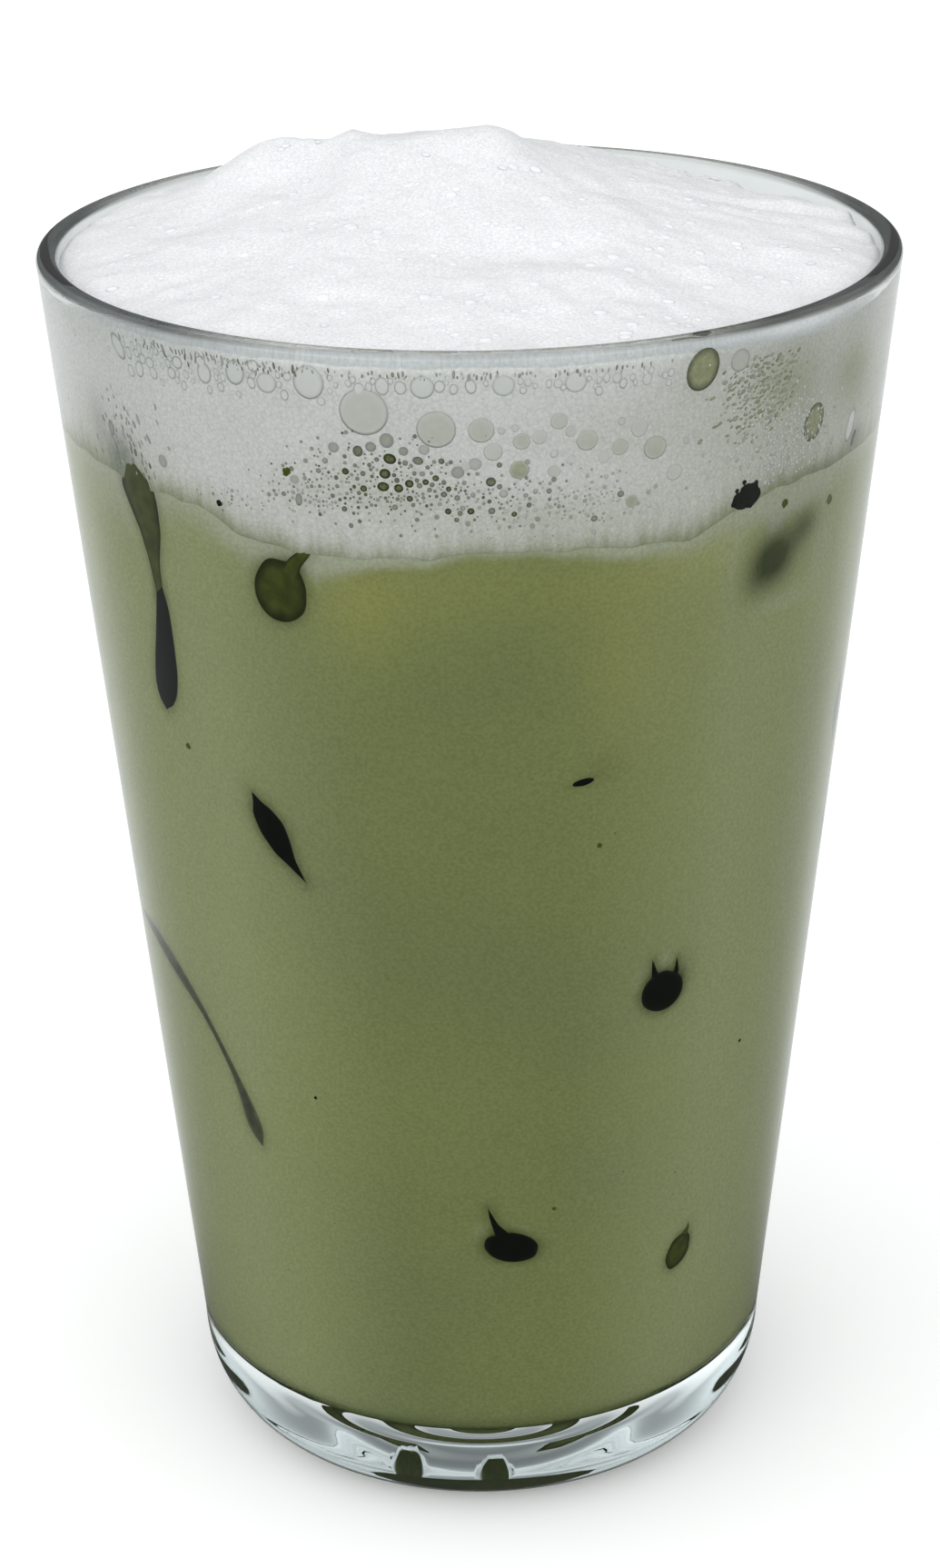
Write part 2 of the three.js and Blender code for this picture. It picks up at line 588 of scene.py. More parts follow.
@dataclass(frozen=True)
class Template:
    """A small shape to copy: its points, and the points of each face."""

    points: Array
    faces: list[list[int]]

    @classmethod
    def of(cls, bm: bmesh.types.BMesh) -> "Template":
        """Takes a bmesh's points and faces, and frees it.

        Args:
            bm: The bmesh.

        Returns:
            The template.
        """
        points = np.array([v.co for v in bm.verts])
        faces = [[v.index for v in face.verts] for face in bm.faces]
        bm.free()
        return cls(points, faces)

    @classmethod
    def lens(cls, sides: int, rings: int) -> "Template":
        """A round lens of radius 1 and half depth 1.

        Args:
            sides: Number of sides.
            rings: Number of rings from pole to pole.

        Returns:
            The template.
        """
        bm = bmesh.new()
        bmesh.ops.create_uvsphere(bm, u_segments=sides, v_segments=rings, radius=1.0)
        return cls.of(bm)

    @classmethod
    def lump(cls, fineness: int) -> "Template":
        """A ball of radius 1 without poles.

        Args:
            fineness: How often its faces are divided.

        Returns:
            The template.
        """
        bm = bmesh.new()
        bmesh.ops.create_icosphere(bm, subdivisions=fineness, radius=1.0)
        return cls.of(bm)

    @property
    def rim(self) -> Array:
        """How far each point is from the middle, 1 at the outline."""
        return np.hypot(self.points[:, 0], self.points[:, 1])


@dataclass
class Gathering:
    """Small shapes of one kind, gathered into one mesh."""

    name: str
    points: list[Array] = field(default_factory=list)
    faces: list[list[int]] = field(default_factory=list)
    rims: list[Array] = field(default_factory=list)
    tones: list[Array] = field(default_factory=list)
    count: int = 0

    def add(self, points: Array, faces: list[list[int]], rim: Values, tone: float) -> None:
        """Adds one shape.

        Args:
            points: Its points in millimetres.
            faces: The points of each of its faces.
            rim: How close each point is to the shape's outline, from 0 to 1.
            tone: How strongly the shape shows.
        """
        self.points.append(points)
        self.faces += [[self.count + i for i in face] for face in faces]
        self.rims.append(np.broadcast_to(rim, len(points)))
        self.tones.append(np.full(len(points), tone))
        self.count += len(points)

    def lay(
        self, glass: TumblerShape, shape: Template, size: Array,
        place: tuple[float, float, float], proud: float, tone: float = 1.0,
    ) -> None:
        """Lays a copy of a shape against the inside of the wall, bent to the wall's curve.

        Args:
            glass: The tumbler.
            shape: The shape: right, up and out towards the viewer.
            size: Its scale along these three in millimetres, alike for all points or for each.
            place: Degrees round from the front, height, and tilt in degrees, clockwise as seen from
                outside.
            proud: How far its middle lies into the glass.
            tone: How strongly it shows.
        """
        flat = shape.points * size
        angle, height, tilt = place
        cos_tilt, sin_tilt = math.cos(math.radians(tilt)), math.sin(math.radians(tilt))
        side = flat[:, 0] * cos_tilt + flat[:, 1] * sin_tilt
        heights = height + flat[:, 1] * cos_tilt - flat[:, 0] * sin_tilt
        angles = angle + np.degrees(side / glass.inner(heights))
        points = glass.wall_points(angles, heights, proud + flat[:, 2])
        self.add(points, shape.faces, shape.rim, tone)

    def build(self, material: Material, slot: Slot) -> Piece:
        """Makes the piece.

        Args:
            material: Its finish.
            slot: Not used.

        Returns:
            The piece.
        """
        mesh = bpy.data.meshes.new(self.name)
        mesh.from_pydata((np.concatenate(self.points) * MM).tolist(), [], self.faces)
        store(mesh, "rim", np.concatenate(self.rims))
        store(mesh, "tone", np.concatenate(self.tones))
        return dress(self.name, mesh, material)


@dataclass(frozen=True)
class ClearGlass:
    """Pressed soda-lime glass, fire-polished lip: clear, faintly green where thick, painted shade on the
    lip.
    """

    tint: str = "f7faf9"
    base_tint: str = "dde9ea"
    lip_painted_shade: str = "2c3334"
    ior: float = 1.5
    roughness: float = 0.0
    ripple_mm: float = 14.0
    ripple_height_mm: float = 0.03

    def build(self) -> Material:
        """Makes the material.

        Returns:
            Clear glass whose surface has the faint ripple that pressing leaves.
        """
        material, tree, (thick, lip) = new_material("pressed_soda_lime_glass", "thick", "lip")
        ripple = add_node(tree, "Bump", inputs={
            "Height": noise_at(tree, self.ripple_mm), "Strength": 1.0,
            "Distance": self.ripple_height_mm * MM,
        })
        # The lip's dark is painted shade
        layers = [(thick, self.base_tint), (lip, self.lip_painted_shade)]
        close_material(tree, {
            "Base Color": layer_colours(tree, self.tint, layers), "Roughness": self.roughness,
            "IOR": self.ior, "Transmission Weight": 1.0, "Normal": ripple,
        })
        return material


@dataclass(frozen=True)
class MatchaMilk:
    """Milk with whisked green tea powder in it: opaque, matt behind glass, finely grained."""

    colour: str = "949e6b"
    warm: str = "b0b26c"
    pale: str = "cdd0b8"
    # Painted light and reflection: the paler tone of the drink towards the sides
    side: str = "c2c898"
    shade: str = "303c0c"
    grain_mm: float = 0.35
    grain: Point = (0.9, 1.1)
    cloud_mm: float = 26.0
    cloud: float = 0.3
    feather_mm: float = 0.9
    feather_depth: float = 0.035
    feather_span: Point = (0.12, 0.95)
    roughness: float = 0.6

    def build(self) -> Material:
        """Makes the material.

        Returns:
            The drink, which turns paler, yellower or darker where the mesh says so.
        """
        names = ("veil", "warm", "side", "shade")
        material, tree, (veil, warm, side, shade) = new_material("matcha_milk", *names)
        clouds = noise_at(tree, self.cloud_mm, 2.0)
        colour = layer_colours(tree, self.colour, [
            (add_node(tree, "MapRange", SMOOTH, (clouds, 0.3, 0.7, 0.0, self.cloud)), self.warm),
            (warm, self.warm),
            # Painted light and reflection towards the sides
            (side, self.side),
            (feather(tree, veil, self.feather_mm, self.feather_depth, self.feather_span), self.pale),
            (shade, self.shade),
        ])
        grain = noise_at(tree, self.grain_mm)
        grain = add_node(tree, "MapRange", SMOOTH, (grain, 0.2, 0.8, *self.grain))
        close_material(tree, {
            "Base Color": add_node(tree, "VectorMath", SCALED, {0: colour, "Scale": grain}),
            "Roughness": self.roughness, "Specular IOR Level": 0.0,
        })
        return material


@dataclass(frozen=True)
class MilkFoam:
    """Whipped milk foam: matt white, with bubbles of a fraction of a millimetre."""

    # Painted light and shade: the sides, shaded behind the glass, take a brighter white than the top,
    # which takes the light from above
    colour: str = "fcfcfa"
    top: str = "dadbdc"
    green: str = "a3aa83"
    olive: str = "c6c7ae"
    # Painted shade in patches on the foam's wall
    foam_shade: str = "7d8578"
    cell_mm: float = 0.55
    froth: Point = (0.96, 1.06)
    grain_mm: float = 0.3
    grain: Point = (0.92, 1.07)
    relief_mm: float = 0.1
    feather_mm: float = 0.8
    feather_depth: float = 0.09
    feather_span: Point = (0.1, 0.9)
    roughness: float = 0.7

    def build(self) -> Material:
        """Makes the material.

        Returns:
            The foam: the drink's green, and painted shade on top and in patches, where the mesh says so.
        """
        names = ("top", "olive", "green", "foam_shade")
        material, tree, (top, olive, green, foam_shade) = new_material("whipped_milk_foam", *names)
        place = add_node(tree, "TexCoord").outputs["Object"]
        cells = add_node(tree, "TexVoronoi", {"feature": "DISTANCE_TO_EDGE"}, {
            "Vector": place, "Scale": 1 / (self.cell_mm * MM),
        })
        grain = noise_at(tree, self.grain_mm, 2.0)
        colour = layer_colours(tree, self.colour, [
            # Painted shade: the top greyer than the sides
            (top, self.top),
            (olive, self.olive),
            (feather(tree, green, self.feather_mm, self.feather_depth, self.feather_span), self.green),
            # Painted shade in patches
            (foam_shade, self.foam_shade),
        ])
        froth = add_node(tree, "MapRange", SMOOTH, (cells, 0.0, 0.16, *self.froth))
        flecks = add_node(tree, "MapRange", SMOOTH, (grain, 0.25, 0.75, *self.grain))
        speckle = add_node(tree, "Math", PRODUCT, (froth, flecks))
        bump = add_node(tree, "Bump", inputs={
            "Height": add_node(tree, "Math", SUM, (cells, grain)), "Strength": 0.4,
            "Distance": self.relief_mm * MM,
        })
        close_material(tree, {
            "Base Color": add_node(tree, "VectorMath", SCALED, {0: colour, "Scale": speckle}),
            "Roughness": self.roughness, "Specular IOR Level": 0.2, "Normal": bump,
        })
        return material


@dataclass(frozen=True)
class Film:
    """The skin of a bubble or of ice: one colour in the middle, another round the rim, the darker painted
    shade.
    """

    name: str
    middle: str
    rim: str
    around: str
    rim_from: float = 0.5
    rim_to: float = 1.0
    mottle_mm: float = 0.5
    mottle: float = 0.1
    roughness: float = 0.5
    specular: float = 0.0

    def build(self) -> Material:
        """Makes the material.

        Returns:
            A film that each shape shows as strongly as its own tone says.
        """
        material, tree, (rim, tone) = new_material(self.name, "rim", "tone")
        share = add_node(tree, "MapRange", SMOOTH, (rim, self.rim_from, self.rim_to))
        skin = layer_colours(tree, self.middle, [(share, self.rim)])
        mottle = add_node(tree, "MapRange", SMOOTH, (
            noise_at(tree, self.mottle_mm, 2.0), 0.25, 0.75, 1 - self.mottle, 1 + self.mottle,
        ))
        film = add_node(tree, "VectorMath", SCALED, {0: skin, "Scale": mottle})
        inputs = {"Factor": tone, "A": linear(self.around), "B": film}
        close_material(tree, {
            "Base Color": add_node(tree, "Mix", IN_COLOUR, inputs),
            "Roughness": self.roughness, "Specular IOR Level": self.specular,
        })
        return material


@dataclass
class Tumbler:
    """The glass itself. Each pair of values is where something begins and where it is whole."""

    shape: TumblerShape
    steps_round: int = 192
    pips: tuple[Point, ...] = ((-6.2, -11.0), (1.0, -12.5))
    pip_half_width: float = 1.1
    pip_height: float = 0.5
    sag: float = 0.3
    rise: float = 1.8
    ring_count: int = 4
    ring_height: float = 0.06
    hollow_steps: int = 56
    under_lip: float = 0.3
    thick: Point = (13.0, 9.0)
    # The lip's painted shade: where it begins and is whole below the rim, its strength in front, and
    # where it grows aside and fades behind
    rim_shade_below_rim: Point = (0.8, 0.3)
    rim_shade_in_front: float = 0.2
    rim_shade_aside: Point = (18, 42)
    rim_shade_behind: Point = (150, 105)
    finish: ClearGlass = ClearGlass()

    def hollow(self) -> list[Point]:
        """The hollow under the foot, which sags a little in the middle and has faint rings.

        Returns:
            Points as radius and height, from the middle outwards.
        """
        edge = self.shape.foot_inner - self.shape.recess_slope
        points = []
        for share in (i / self.hollow_steps for i in range(self.hollow_steps + 1)):
            rings = self.ring_height * math.cos(2 * math.pi * self.ring_count * share)
            base = self.shape.recess - self.sag
            points.append((edge * share, base + (self.rise + self.sag) * share ** 2 + rings))
        return points

    def outline(self) -> list[Point]:
        """The glass's outline from the middle of its underside to the middle of its floor.

        Returns:
            Points as radius and height.
        """
        s = self.shape
        lip_height = s.height - s.lip
        below = lip_height - self.under_lip
        lip_out = (s.outer(lip_height) - s.lip, lip_height)
        lip_in = (s.inner(lip_height) + s.lip, lip_height)
        corner_height = s.floor + s.floor_corner
        corner = (s.inner(corner_height) - s.floor_corner, corner_height)
        hollow = self.hollow()
        heel = (s.foot_outer, s.heel_height)
        return [
            *hollow, *stretch(hollow[-1], (s.foot_inner, 0.0), 3), (s.foot_inner, 0.0),
            *stretch((s.foot_inner, 0.0), (s.foot_outer, 0.0), 4),
            *arc(heel, s.heel_radius - s.foot_outer, s.heel_height, (-90, 0), 20),
            *stretch((s.heel_radius, s.heel_height), (s.outer(below), below), 24),
            (s.outer(below), below),
            *arc(lip_out, s.lip, s.lip, (0, 90), 7),
            *stretch((lip_out[0], s.height), (lip_in[0], s.height), 2),
            *arc(lip_in, s.lip, s.lip, (90, 180), 7),
            (s.inner(below), below),
            *stretch((s.inner(below), below), (s.inner(corner_height), corner_height), 24),
            *arc(corner, s.floor_corner, s.floor_corner, (0, -90), 10),
            *stretch((corner[0], s.floor), (0.0, s.floor), 8), (0.0, s.floor),
        ]

    def build(self) -> Piece:
        """Spins the outline into the tumbler and presses plain mould pips into its underside.

        Returns:
            The piece that stands for the glass.
        """
        mesh = to_mesh("tumbler", spin(self.outline(), self.steps_round))
        points = read_points(mesh)
        x, y, height = points.T
        under = height < self.shape.recess + self.rise + 0.1
        inside = np.hypot(x, y) < self.shape.foot_inner - self.shape.recess_slope
        for pip_x, pip_y in self.pips:
            off = np.maximum(np.abs(x - pip_x), np.abs(y - pip_y))
            pressed = smooth_step(self.pip_half_width + 0.2, self.pip_half_width - 0.4, off)
            points[:, 2] += np.where(under & inside, self.pip_height * pressed, 0.0)
        write_points(mesh, points)
        angle = np.abs(np.degrees(np.arctan2(x, -y)))
        # Painted shade on the lip, strongest at the sides, weaker in front and behind
        lip = smooth_step(*(self.shape.height - below for below in self.rim_shade_below_rim), height)
        aside = smooth_step(*self.rim_shade_aside, angle) * smooth_step(*self.rim_shade_behind, angle)
        store(mesh, "thick", smooth_step(*self.thick, height))
        store(mesh, "lip", lip * mix(self.rim_shade_in_front, 1.0, aside))
        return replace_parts(dress("tumbler", mesh, self.finish.build()), "glass")


class MarkKind(Enum):
    """What shows where something lies close against the glass."""

    CLEAR_ICE = "ice_clear"
    FILMED_ICE = "ice_filmed"
    GREY_ICE = "ice_greyed"


@dataclass(frozen=True)
class Blot:
    """A round or oval place where sunk ice touches the glass and pushes the milk aside."""

    kind: MarkKind
    angle: float
    height: float
    half_width: float
    half_height: float
    tilt: float = 0.0
    halo: float = 0.6
    halo_reach: float = 0.5

    def gap(self, glass: TumblerShape, angle: Array, height: Array) -> Array:
        """How far places lie outside the oval, in millimetres.

        Args:
            glass: The tumbler.
            angle: Degrees round from the front.
            height: Heights above the table.

        Returns:
            The distances, below 0 inside.
        """
        side = np.radians(angle_between(angle, self.angle)) * glass.inner(height)
        rise = height - self.height
        cos_tilt, sin_tilt = math.cos(math.radians(self.tilt)), math.sin(math.radians(self.tilt))
        across = (side * cos_tilt - rise * sin_tilt) / self.half_width
        up = (side * sin_tilt + rise * cos_tilt) / self.half_height
        return (np.hypot(across, up) - 1) * (self.half_width + self.half_height) / 2

    def add_to(self, gathering: Gathering, glass: TumblerShape, proud: float, depth: float) -> None:
        """Adds the blot as a shallow lens.

        Args:
            gathering: The mesh of its kind.
            glass: The tumbler.
            proud: How far its rim lies into the glass.
            depth: How far its middle stands out beyond the rim.
        """
        lens = Template.lens(64, 14)
        turn = np.degrees(np.arctan2(lens.points[:, 1], lens.points[:, 0]))
        wobble = 1 + 0.05 * Swell(int(self.height * 10), (30.0, 1.0), 12).at(turn, 0.0)
        width, height = self.half_width * wobble, self.half_height * wobble
        size = np.stack([width, height, np.full_like(wobble, depth)], axis=-1)
        gathering.lay(glass, lens, size, (self.angle, self.height, self.tilt), proud)


@dataclass(frozen=True)
class Streak:
    """A long, tapering place where sunk ice touches the glass."""

    kind: MarkKind
    path: tuple[tuple[float, float, float], ...]
    halo: float = 0.5
    halo_reach: float = 0.5
    steps: int = 48

    def course(self) -> Array:
        """Its middle line, smoothed.

        Returns:
            Angle, height and half width, one step in each row.
        """
        marks = np.array(self.path)
        along = np.linspace(0, len(marks) - 1, self.steps + 1)
        rows = np.stack([np.interp(along, range(len(marks)), column) for column in marks.T], axis=-1)
        for _ in range(4):
            rows[1:-1] = (rows[:-2] + 2 * rows[1:-1] + rows[2:]) / 4
        return rows

    def gap(self, glass: TumblerShape, angle: Array, height: Array) -> Array:
        """How far places lie outside the streak, in millimetres.

        Args:
            glass: The tumbler.
            angle: Degrees round from the front.
            height: Heights above the table.

        Returns:
            The distances, below 0 inside.
        """
        nearest = np.full(np.shape(angle), np.inf)
        for at, rise, half in self.course()[::2]:
            side = np.radians(angle_between(angle, at)) * glass.inner(height)
            nearest = np.minimum(nearest, np.hypot(side, height - rise) - half)
        return nearest

    def add_to(self, gathering: Gathering, glass: TumblerShape, proud: float, depth: float) -> None:
        """Adds the streak as a strip with a lens-shaped section.

        Args:
            gathering: The mesh of its kind.
            glass: The tumbler.
            proud: How far its edges lie into the glass.
            depth: How far its middle stands out beyond them.
        """
        bm = bmesh.new()
        bmesh.ops.create_grid(bm, x_segments=self.steps, y_segments=8, size=1.0)
        strip = Template.of(bm)
        angle, height, half = self.course().T
        side, rise = np.gradient(np.radians(angle)) * glass.inner(height), np.gradient(height)
        length = np.maximum(np.hypot(side, rise), 1e-6)
        step = np.clip(np.rint((strip.points[:, 0] + 1) / 2 * self.steps).astype(int), 0, self.steps)
        over = strip.points[:, 1]
        heights = height[step] + over * half[step] * (side / length)[step]
        shift = -over * half[step] * (rise / length)[step] / glass.inner(heights)
        bulge = depth * np.sqrt(np.clip(1 - over * over, 0, 1)) * np.minimum(1, half[step])
        points = glass.wall_points(angle[step] + np.degrees(shift), heights, proud + bulge)
        gathering.add(points, strip.faces, np.abs(over), 1.0)


CLEAR, FILMED, GREY = MarkKind.CLEAR_ICE, MarkKind.FILMED_ICE, MarkKind.GREY_ICE
# The drink around ice and powder, where a film thins out
MILKY_GREEN = "a9b37b"
MARKS: tuple[Blot | Streak, ...] = (
    # The slanted gap at the left, sharp above and fading below
    Streak(CLEAR, (
        (-35.3, 87.1, 0.0), (-34.6, 86.1, 0.48), (-33.9, 85.1, 1.2), (-32.2, 83.4, 1.62),
        (-30.6, 81.3, 1.2), (-29.2, 79.9, 0.54), (-26.9, 77.9, 0.0),
    ), 0.6, 0.6),
    # The round one at the right with its two horns
    Blot(CLEAR, 31.3, 64.2, 2.48, 2.38),
    Streak(CLEAR, ((30.4, 64.8, 0.7), (29.5, 66.8, 0.3), (29.2, 67.7, 0.14), (29.0, 68.3, 0.0))),
    Streak(CLEAR, ((33.0, 64.5, 0.7), (33.8, 66.2, 0.3), (33.8, 67.1, 0.14), (33.7, 67.9, 0.0))),
    # The wide one low in front, with one horn
    Blot(CLEAR, 5.5, 35.5, 2.85, 1.8, 12),
    Streak(CLEAR, ((4.6, 36.3, 0.9), (2.7, 38.3, 0.35), (1.9, 39.5, 0.2), (1.3, 40.7, 0.0))),
    # A sliver in front
    Blot(CLEAR, 15.8, 90.1, 1.05, 0.38, -10, 0.3, 0.4),
    # Two filmed with milk, low at the right and under the foam at the left
    Blot(FILMED, 39.9, 30.2, 1.5, 2.2, 24, 0.45, 0.4),
    Streak(FILMED, ((40.8, 31.5, 0.6), (41.9, 32.8, 0.2), (42.0, 33.5, 0.0)), 0.2),
    Blot(FILMED, -26.9, 109.9, 2.8, 3.3, 6, 0.45, 0.6),
    Streak(FILMED, (
        (-25.6, 111.5, 1.0), (-24.4, 113.0, 0.7), (-22.8, 114.1, 0.5), (-21.6, 115.2, 0.3),
        (-20.8, 115.9, 0.0),
    ), 0.3),
    # The long one at the left, pinched in the middle
    Streak(FILMED, (
        (-52.4, 119.3, 0.9), (-51.8, 117.6, 2.7), (-50.8, 115.4, 2.4), (-50.0, 112.9, 1.75),
        (-49.9, 109.4, 0.8), (-49.6, 106.0, 0.5),
    ), 0.35, 0.5),
    Streak(CLEAR, (
        (-49.9, 110.0, 0.1), (-49.5, 107.0, 0.45), (-49.4, 104.6, 1.0), (-49.9, 101.4, 1.4),
        (-50.6, 98.0, 1.8), (-51.3, 95.6, 1.75), (-51.8, 94.0, 1.1), (-52.0, 93.1, 0.0),
    ), 0.4, 0.5),
    # The thin curved one at the left
    Streak(GREY, (
        (-76.8, 63.5, 0.31), (-69.4, 63.1, 0.93), (-63.5, 61.7, 1.08), (-58.9, 60.1, 0.93),
        (-54.4, 58.0, 0.54), (-50.6, 55.2, 0.4), (-47.5, 52.2, 0.46), (-45.4, 49.7, 0.7),
        (-43.7, 46.7, 1.12), (-42.7, 45.1, 0.93), (-41.9, 43.7, 0.0),
    ), 0.35, 0.5),
    # Two seen edge-on at the right
    Blot(GREY, 76.5, 86.2, 1.3, 3.6, -6, 0.4, 0.7),
    Blot(GREY, 79.0, 73.0, 1.0, 2.6, -6, 0.4, 0.7),
    # Round the sides and the back
    Blot(CLEAR, 112, 92, 2.2, 2.8, 20),
    Blot(FILMED, 138, 58, 1.8, 2.6, -15),
    Blot(CLEAR, 168, 78, 2.6, 1.9, 8),
    Streak(CLEAR, ((166, 79.4, 0.8), (163.5, 81.2, 0.3), (162.5, 83, 0.0))),
    Blot(FILMED, -168, 108, 2.6, 3.2, 5),
    Streak(FILMED, (
        (-140, 112, 0.0), (-138.5, 108, 1.0), (-138, 103, 0.5), (-138.6, 97, 0.9), (-139, 91, 1.3),
        (-139.5, 88, 0.0),
    )),
    Blot(CLEAR, -112, 70, 1.4, 2.4, -25),
    Blot(CLEAR, -158, 44, 2.3, 2.0, 0),
    Blot(GREY, 100, 36, 1.0, 1.8, 18),
)


@dataclass
class SunkIce:
    """Every place where sunk ice shows through the drink."""

    glass: TumblerShape
    proud: float = 0.1
    depth: float = 0.08

    @staticmethod
    def finishes() -> dict[MarkKind, Film]:
        """Each kind's look: clear ice is near black, painted shade seen into the drink; milk and foam
        film the others.
        """
        return {
            CLEAR: Film("clear_ice_in_milk", "050803", "1b2013", MILKY_GREEN, 0.8, 1.0, 1.0, 0.2),
            FILMED: Film("milk_filmed_ice", "4f5726", "31371b", MILKY_GREEN, 0.55, 1.0, 1.4, 0.25),
            GREY: Film("greyed_ice", "50543d", "6d7158", MILKY_GREEN, 0.4, 1.0, 1.2, 0.25),
        }

    def build(self) -> None:
        """Makes one piece for each kind."""
        for kind, film in self.finishes().items():
            gathering = Gathering(kind.value)
            for mark in (mark for mark in MARKS if mark.kind is kind):
                mark.add_to(gathering, self.glass, self.proud, self.depth)
            gathering.build(film.build(), Slot.DRINK)


@dataclass(frozen=True)
class Stain:
    """A soft-edged place on the wall, in degrees and millimetres, and how strong it is."""

    angle: float
    height: float
    reach_angle: float
    reach_height: float
    amount: float

    def at(self, angle: Values, height: Values) -> Values:
        """The stain's strength at a place."""
        across = bell(angle_between(angle, self.angle), 0, self.reach_angle)
        return self.amount * across * bell(height, self.height, self.reach_height)


def sum_of(stains: Sequence[Stain], angle: Values, height: Values) -> Values:
    """The strengths of several stains together."""
    return sum(stain.at(angle, height) for stain in stains)


@dataclass
class Drink:
    """The milky drink, up to just under the foam."""

    foam: FoamShape
    steps_round: int = 320
    wall_steps: int = 150
    proud: float = 0.1
    under_foam: float = 1.0
    dark_corner: float = 0.7
    # Painted light and reflection: how much paler the drink turns towards the sides
    side: float = 0.66
    fringe: float = 0.85
    fringe_reach: Point = (0.6, 2.4)
    # The angles over which that painted side light grows
    side_light_span: Point = (10, 44)
    cloud_at_ice: float = 0.32
    cloud_ring: Point = (1.3, 0.9)
    darkest: float = 0.92
    warm_stains: tuple[Stain, ...] = (
        Stain(22, 102, 9, 10, 0.7), Stain(34, 112.5, 9, 3.5, 0.9), Stain(-16, 108, 8, 6, 0.7),
        Stain(55, 103, 12, 5, 0.5), Stain(0, 111, 30, 4, 0.4),
    )
    veil_stains: tuple[Stain, ...] = (
        Stain(48, 115.8, 9, 1.8, 0.75), Stain(58, 108, 4, 5, 0.4), Stain(48, 104.8, 8, 1.6, 0.45),
        Stain(38, 109, 2.5, 5, 0.3), Stain(45.5, 113.3, 1.6, 1.5, 0.6),
        Stain(-19.5, 113.5, 3.5, 2.2, 0.5), Stain(-58, 114, 8, 4, 0.35),
        Stain(-13, 114.0, 8, 1.1, 0.5), Stain(-33, 115.2, 5, 1.8, 0.4), Stain(20, 114.2, 7, 0.9, 0.35),
    )
    shade_stains: tuple[Stain, ...] = (
        Stain(46.0, 109.9, 4.6, 2.9, 1.15), Stain(52.5, 112.2, 3.2, 2.0, 0.6),
        Stain(42.5, 108.0, 3.0, 2.2, 0.25),
        Stain(19, 91.5, 3, 1.5, 0.14), Stain(36, 66, 2, 2.2, 0.15),
    )
    finish: MatchaMilk = MatchaMilk()

    def outline(self) -> list[Point]:
        """The drink's outline: radius as a share of the room, height as a share of the depth.

        Returns:
            The outline of a puck of radius 1 and height 1.
        """
        glass = self.foam.glass
        across = glass.floor_corner / glass.inner(glass.floor + glass.floor_corner)
        up = glass.floor_corner / (self.foam.line_at_sides - glass.floor)
        return [
            (0.0, 0.0), *stretch((0.0, 0.0), (1 - across, 0.0), 10),
            *arc((1 - across, up), across, up, (-90, 0), 12),
            *stretch((1.0, up), (1.0, 1.0), self.wall_steps), (1.0, 1.0),
            *stretch((1.0, 1.0), (0.0, 1.0), 10), (0.0, 1.0),
        ]

    def build(self) -> Piece:
        """Fills the glass with drink, marking where it is paler, yellower, darker, and painted lighter at
        the sides.

        Returns:
            The piece that stands for the drink.
        """
        glass = self.foam.glass
        puck = Filling("matcha_drink", self.outline(), self.steps_round)
        angle, share = puck.angle, puck.share
        top = self.foam.underside(share, angle) + self.under_foam
        height = mix(glass.floor - self.proud, top, puck.level)
        puck.fill(glass, height, self.proud)
        gaps = [mark.gap(glass, angle, height) for mark in MARKS]
        puck.store(
            np.where(share > 0.99, 1.0, 0.0),
            warm=sum_of(self.warm_stains, angle, height),
            # Painted light and reflection, paler towards the sides
            side=self.side * smooth_step(*self.side_light_span, np.abs(angle)),
            veil=self.veil(angle, height, gaps),
        )
        puck.store(np.where(share > 0.9, 1.0, 0.0), shade=self.shade(angle, height, gaps))
        piece = dress("matcha_drink", puck.mesh, self.finish.build())
        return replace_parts(piece, "drink")

    def veil(self, angle: Array, height: Array, gaps: list[Array]) -> Array:
        """Where milk foam clouds the drink: under the foam, more so at the sides, and near ice.

        Args:
            angle: Degrees round from the front.
            height: Heights above the table.
            gaps: Distances from each mark of ice.

        Returns:
            How strong the cloud is.
        """
        below = np.maximum(self.foam.line(angle) - height, 0.0)
        reach = mix(*self.fringe_reach, smooth_step(*CLOUDY_SIDES, np.abs(angle)))
        near_ice = sum(bell(gap, *self.cloud_ring) * mark.halo for gap, mark in zip(gaps, MARKS))
        stains = sum_of(self.veil_stains, angle, height)
        return self.fringe * np.exp(-below / reach) + stains + self.cloud_at_ice * near_ice

    def shade(self, angle: Array, height: Array, gaps: list[Array]) -> Array:
        """Where the drink is darker: round ice, in patches, and in the corner at the floor.

        Args:
            angle: Degrees round from the front.
            height: Heights above the table.
            gaps: Distances from each mark of ice.

        Returns:
            How strong the dark is.
        """
        floor = self.foam.glass.floor
        amount = sum_of(self.shade_stains, angle, height)
        amount = amount + self.dark_corner * smooth_step(floor + 1.0, floor + 0.2, height)
        for gap, mark in zip(gaps, MARKS):
            amount = amount + mark.halo * np.exp(-np.maximum(gap, 0.0) / mark.halo_reach)
        return np.clip(amount, 0, self.darkest)


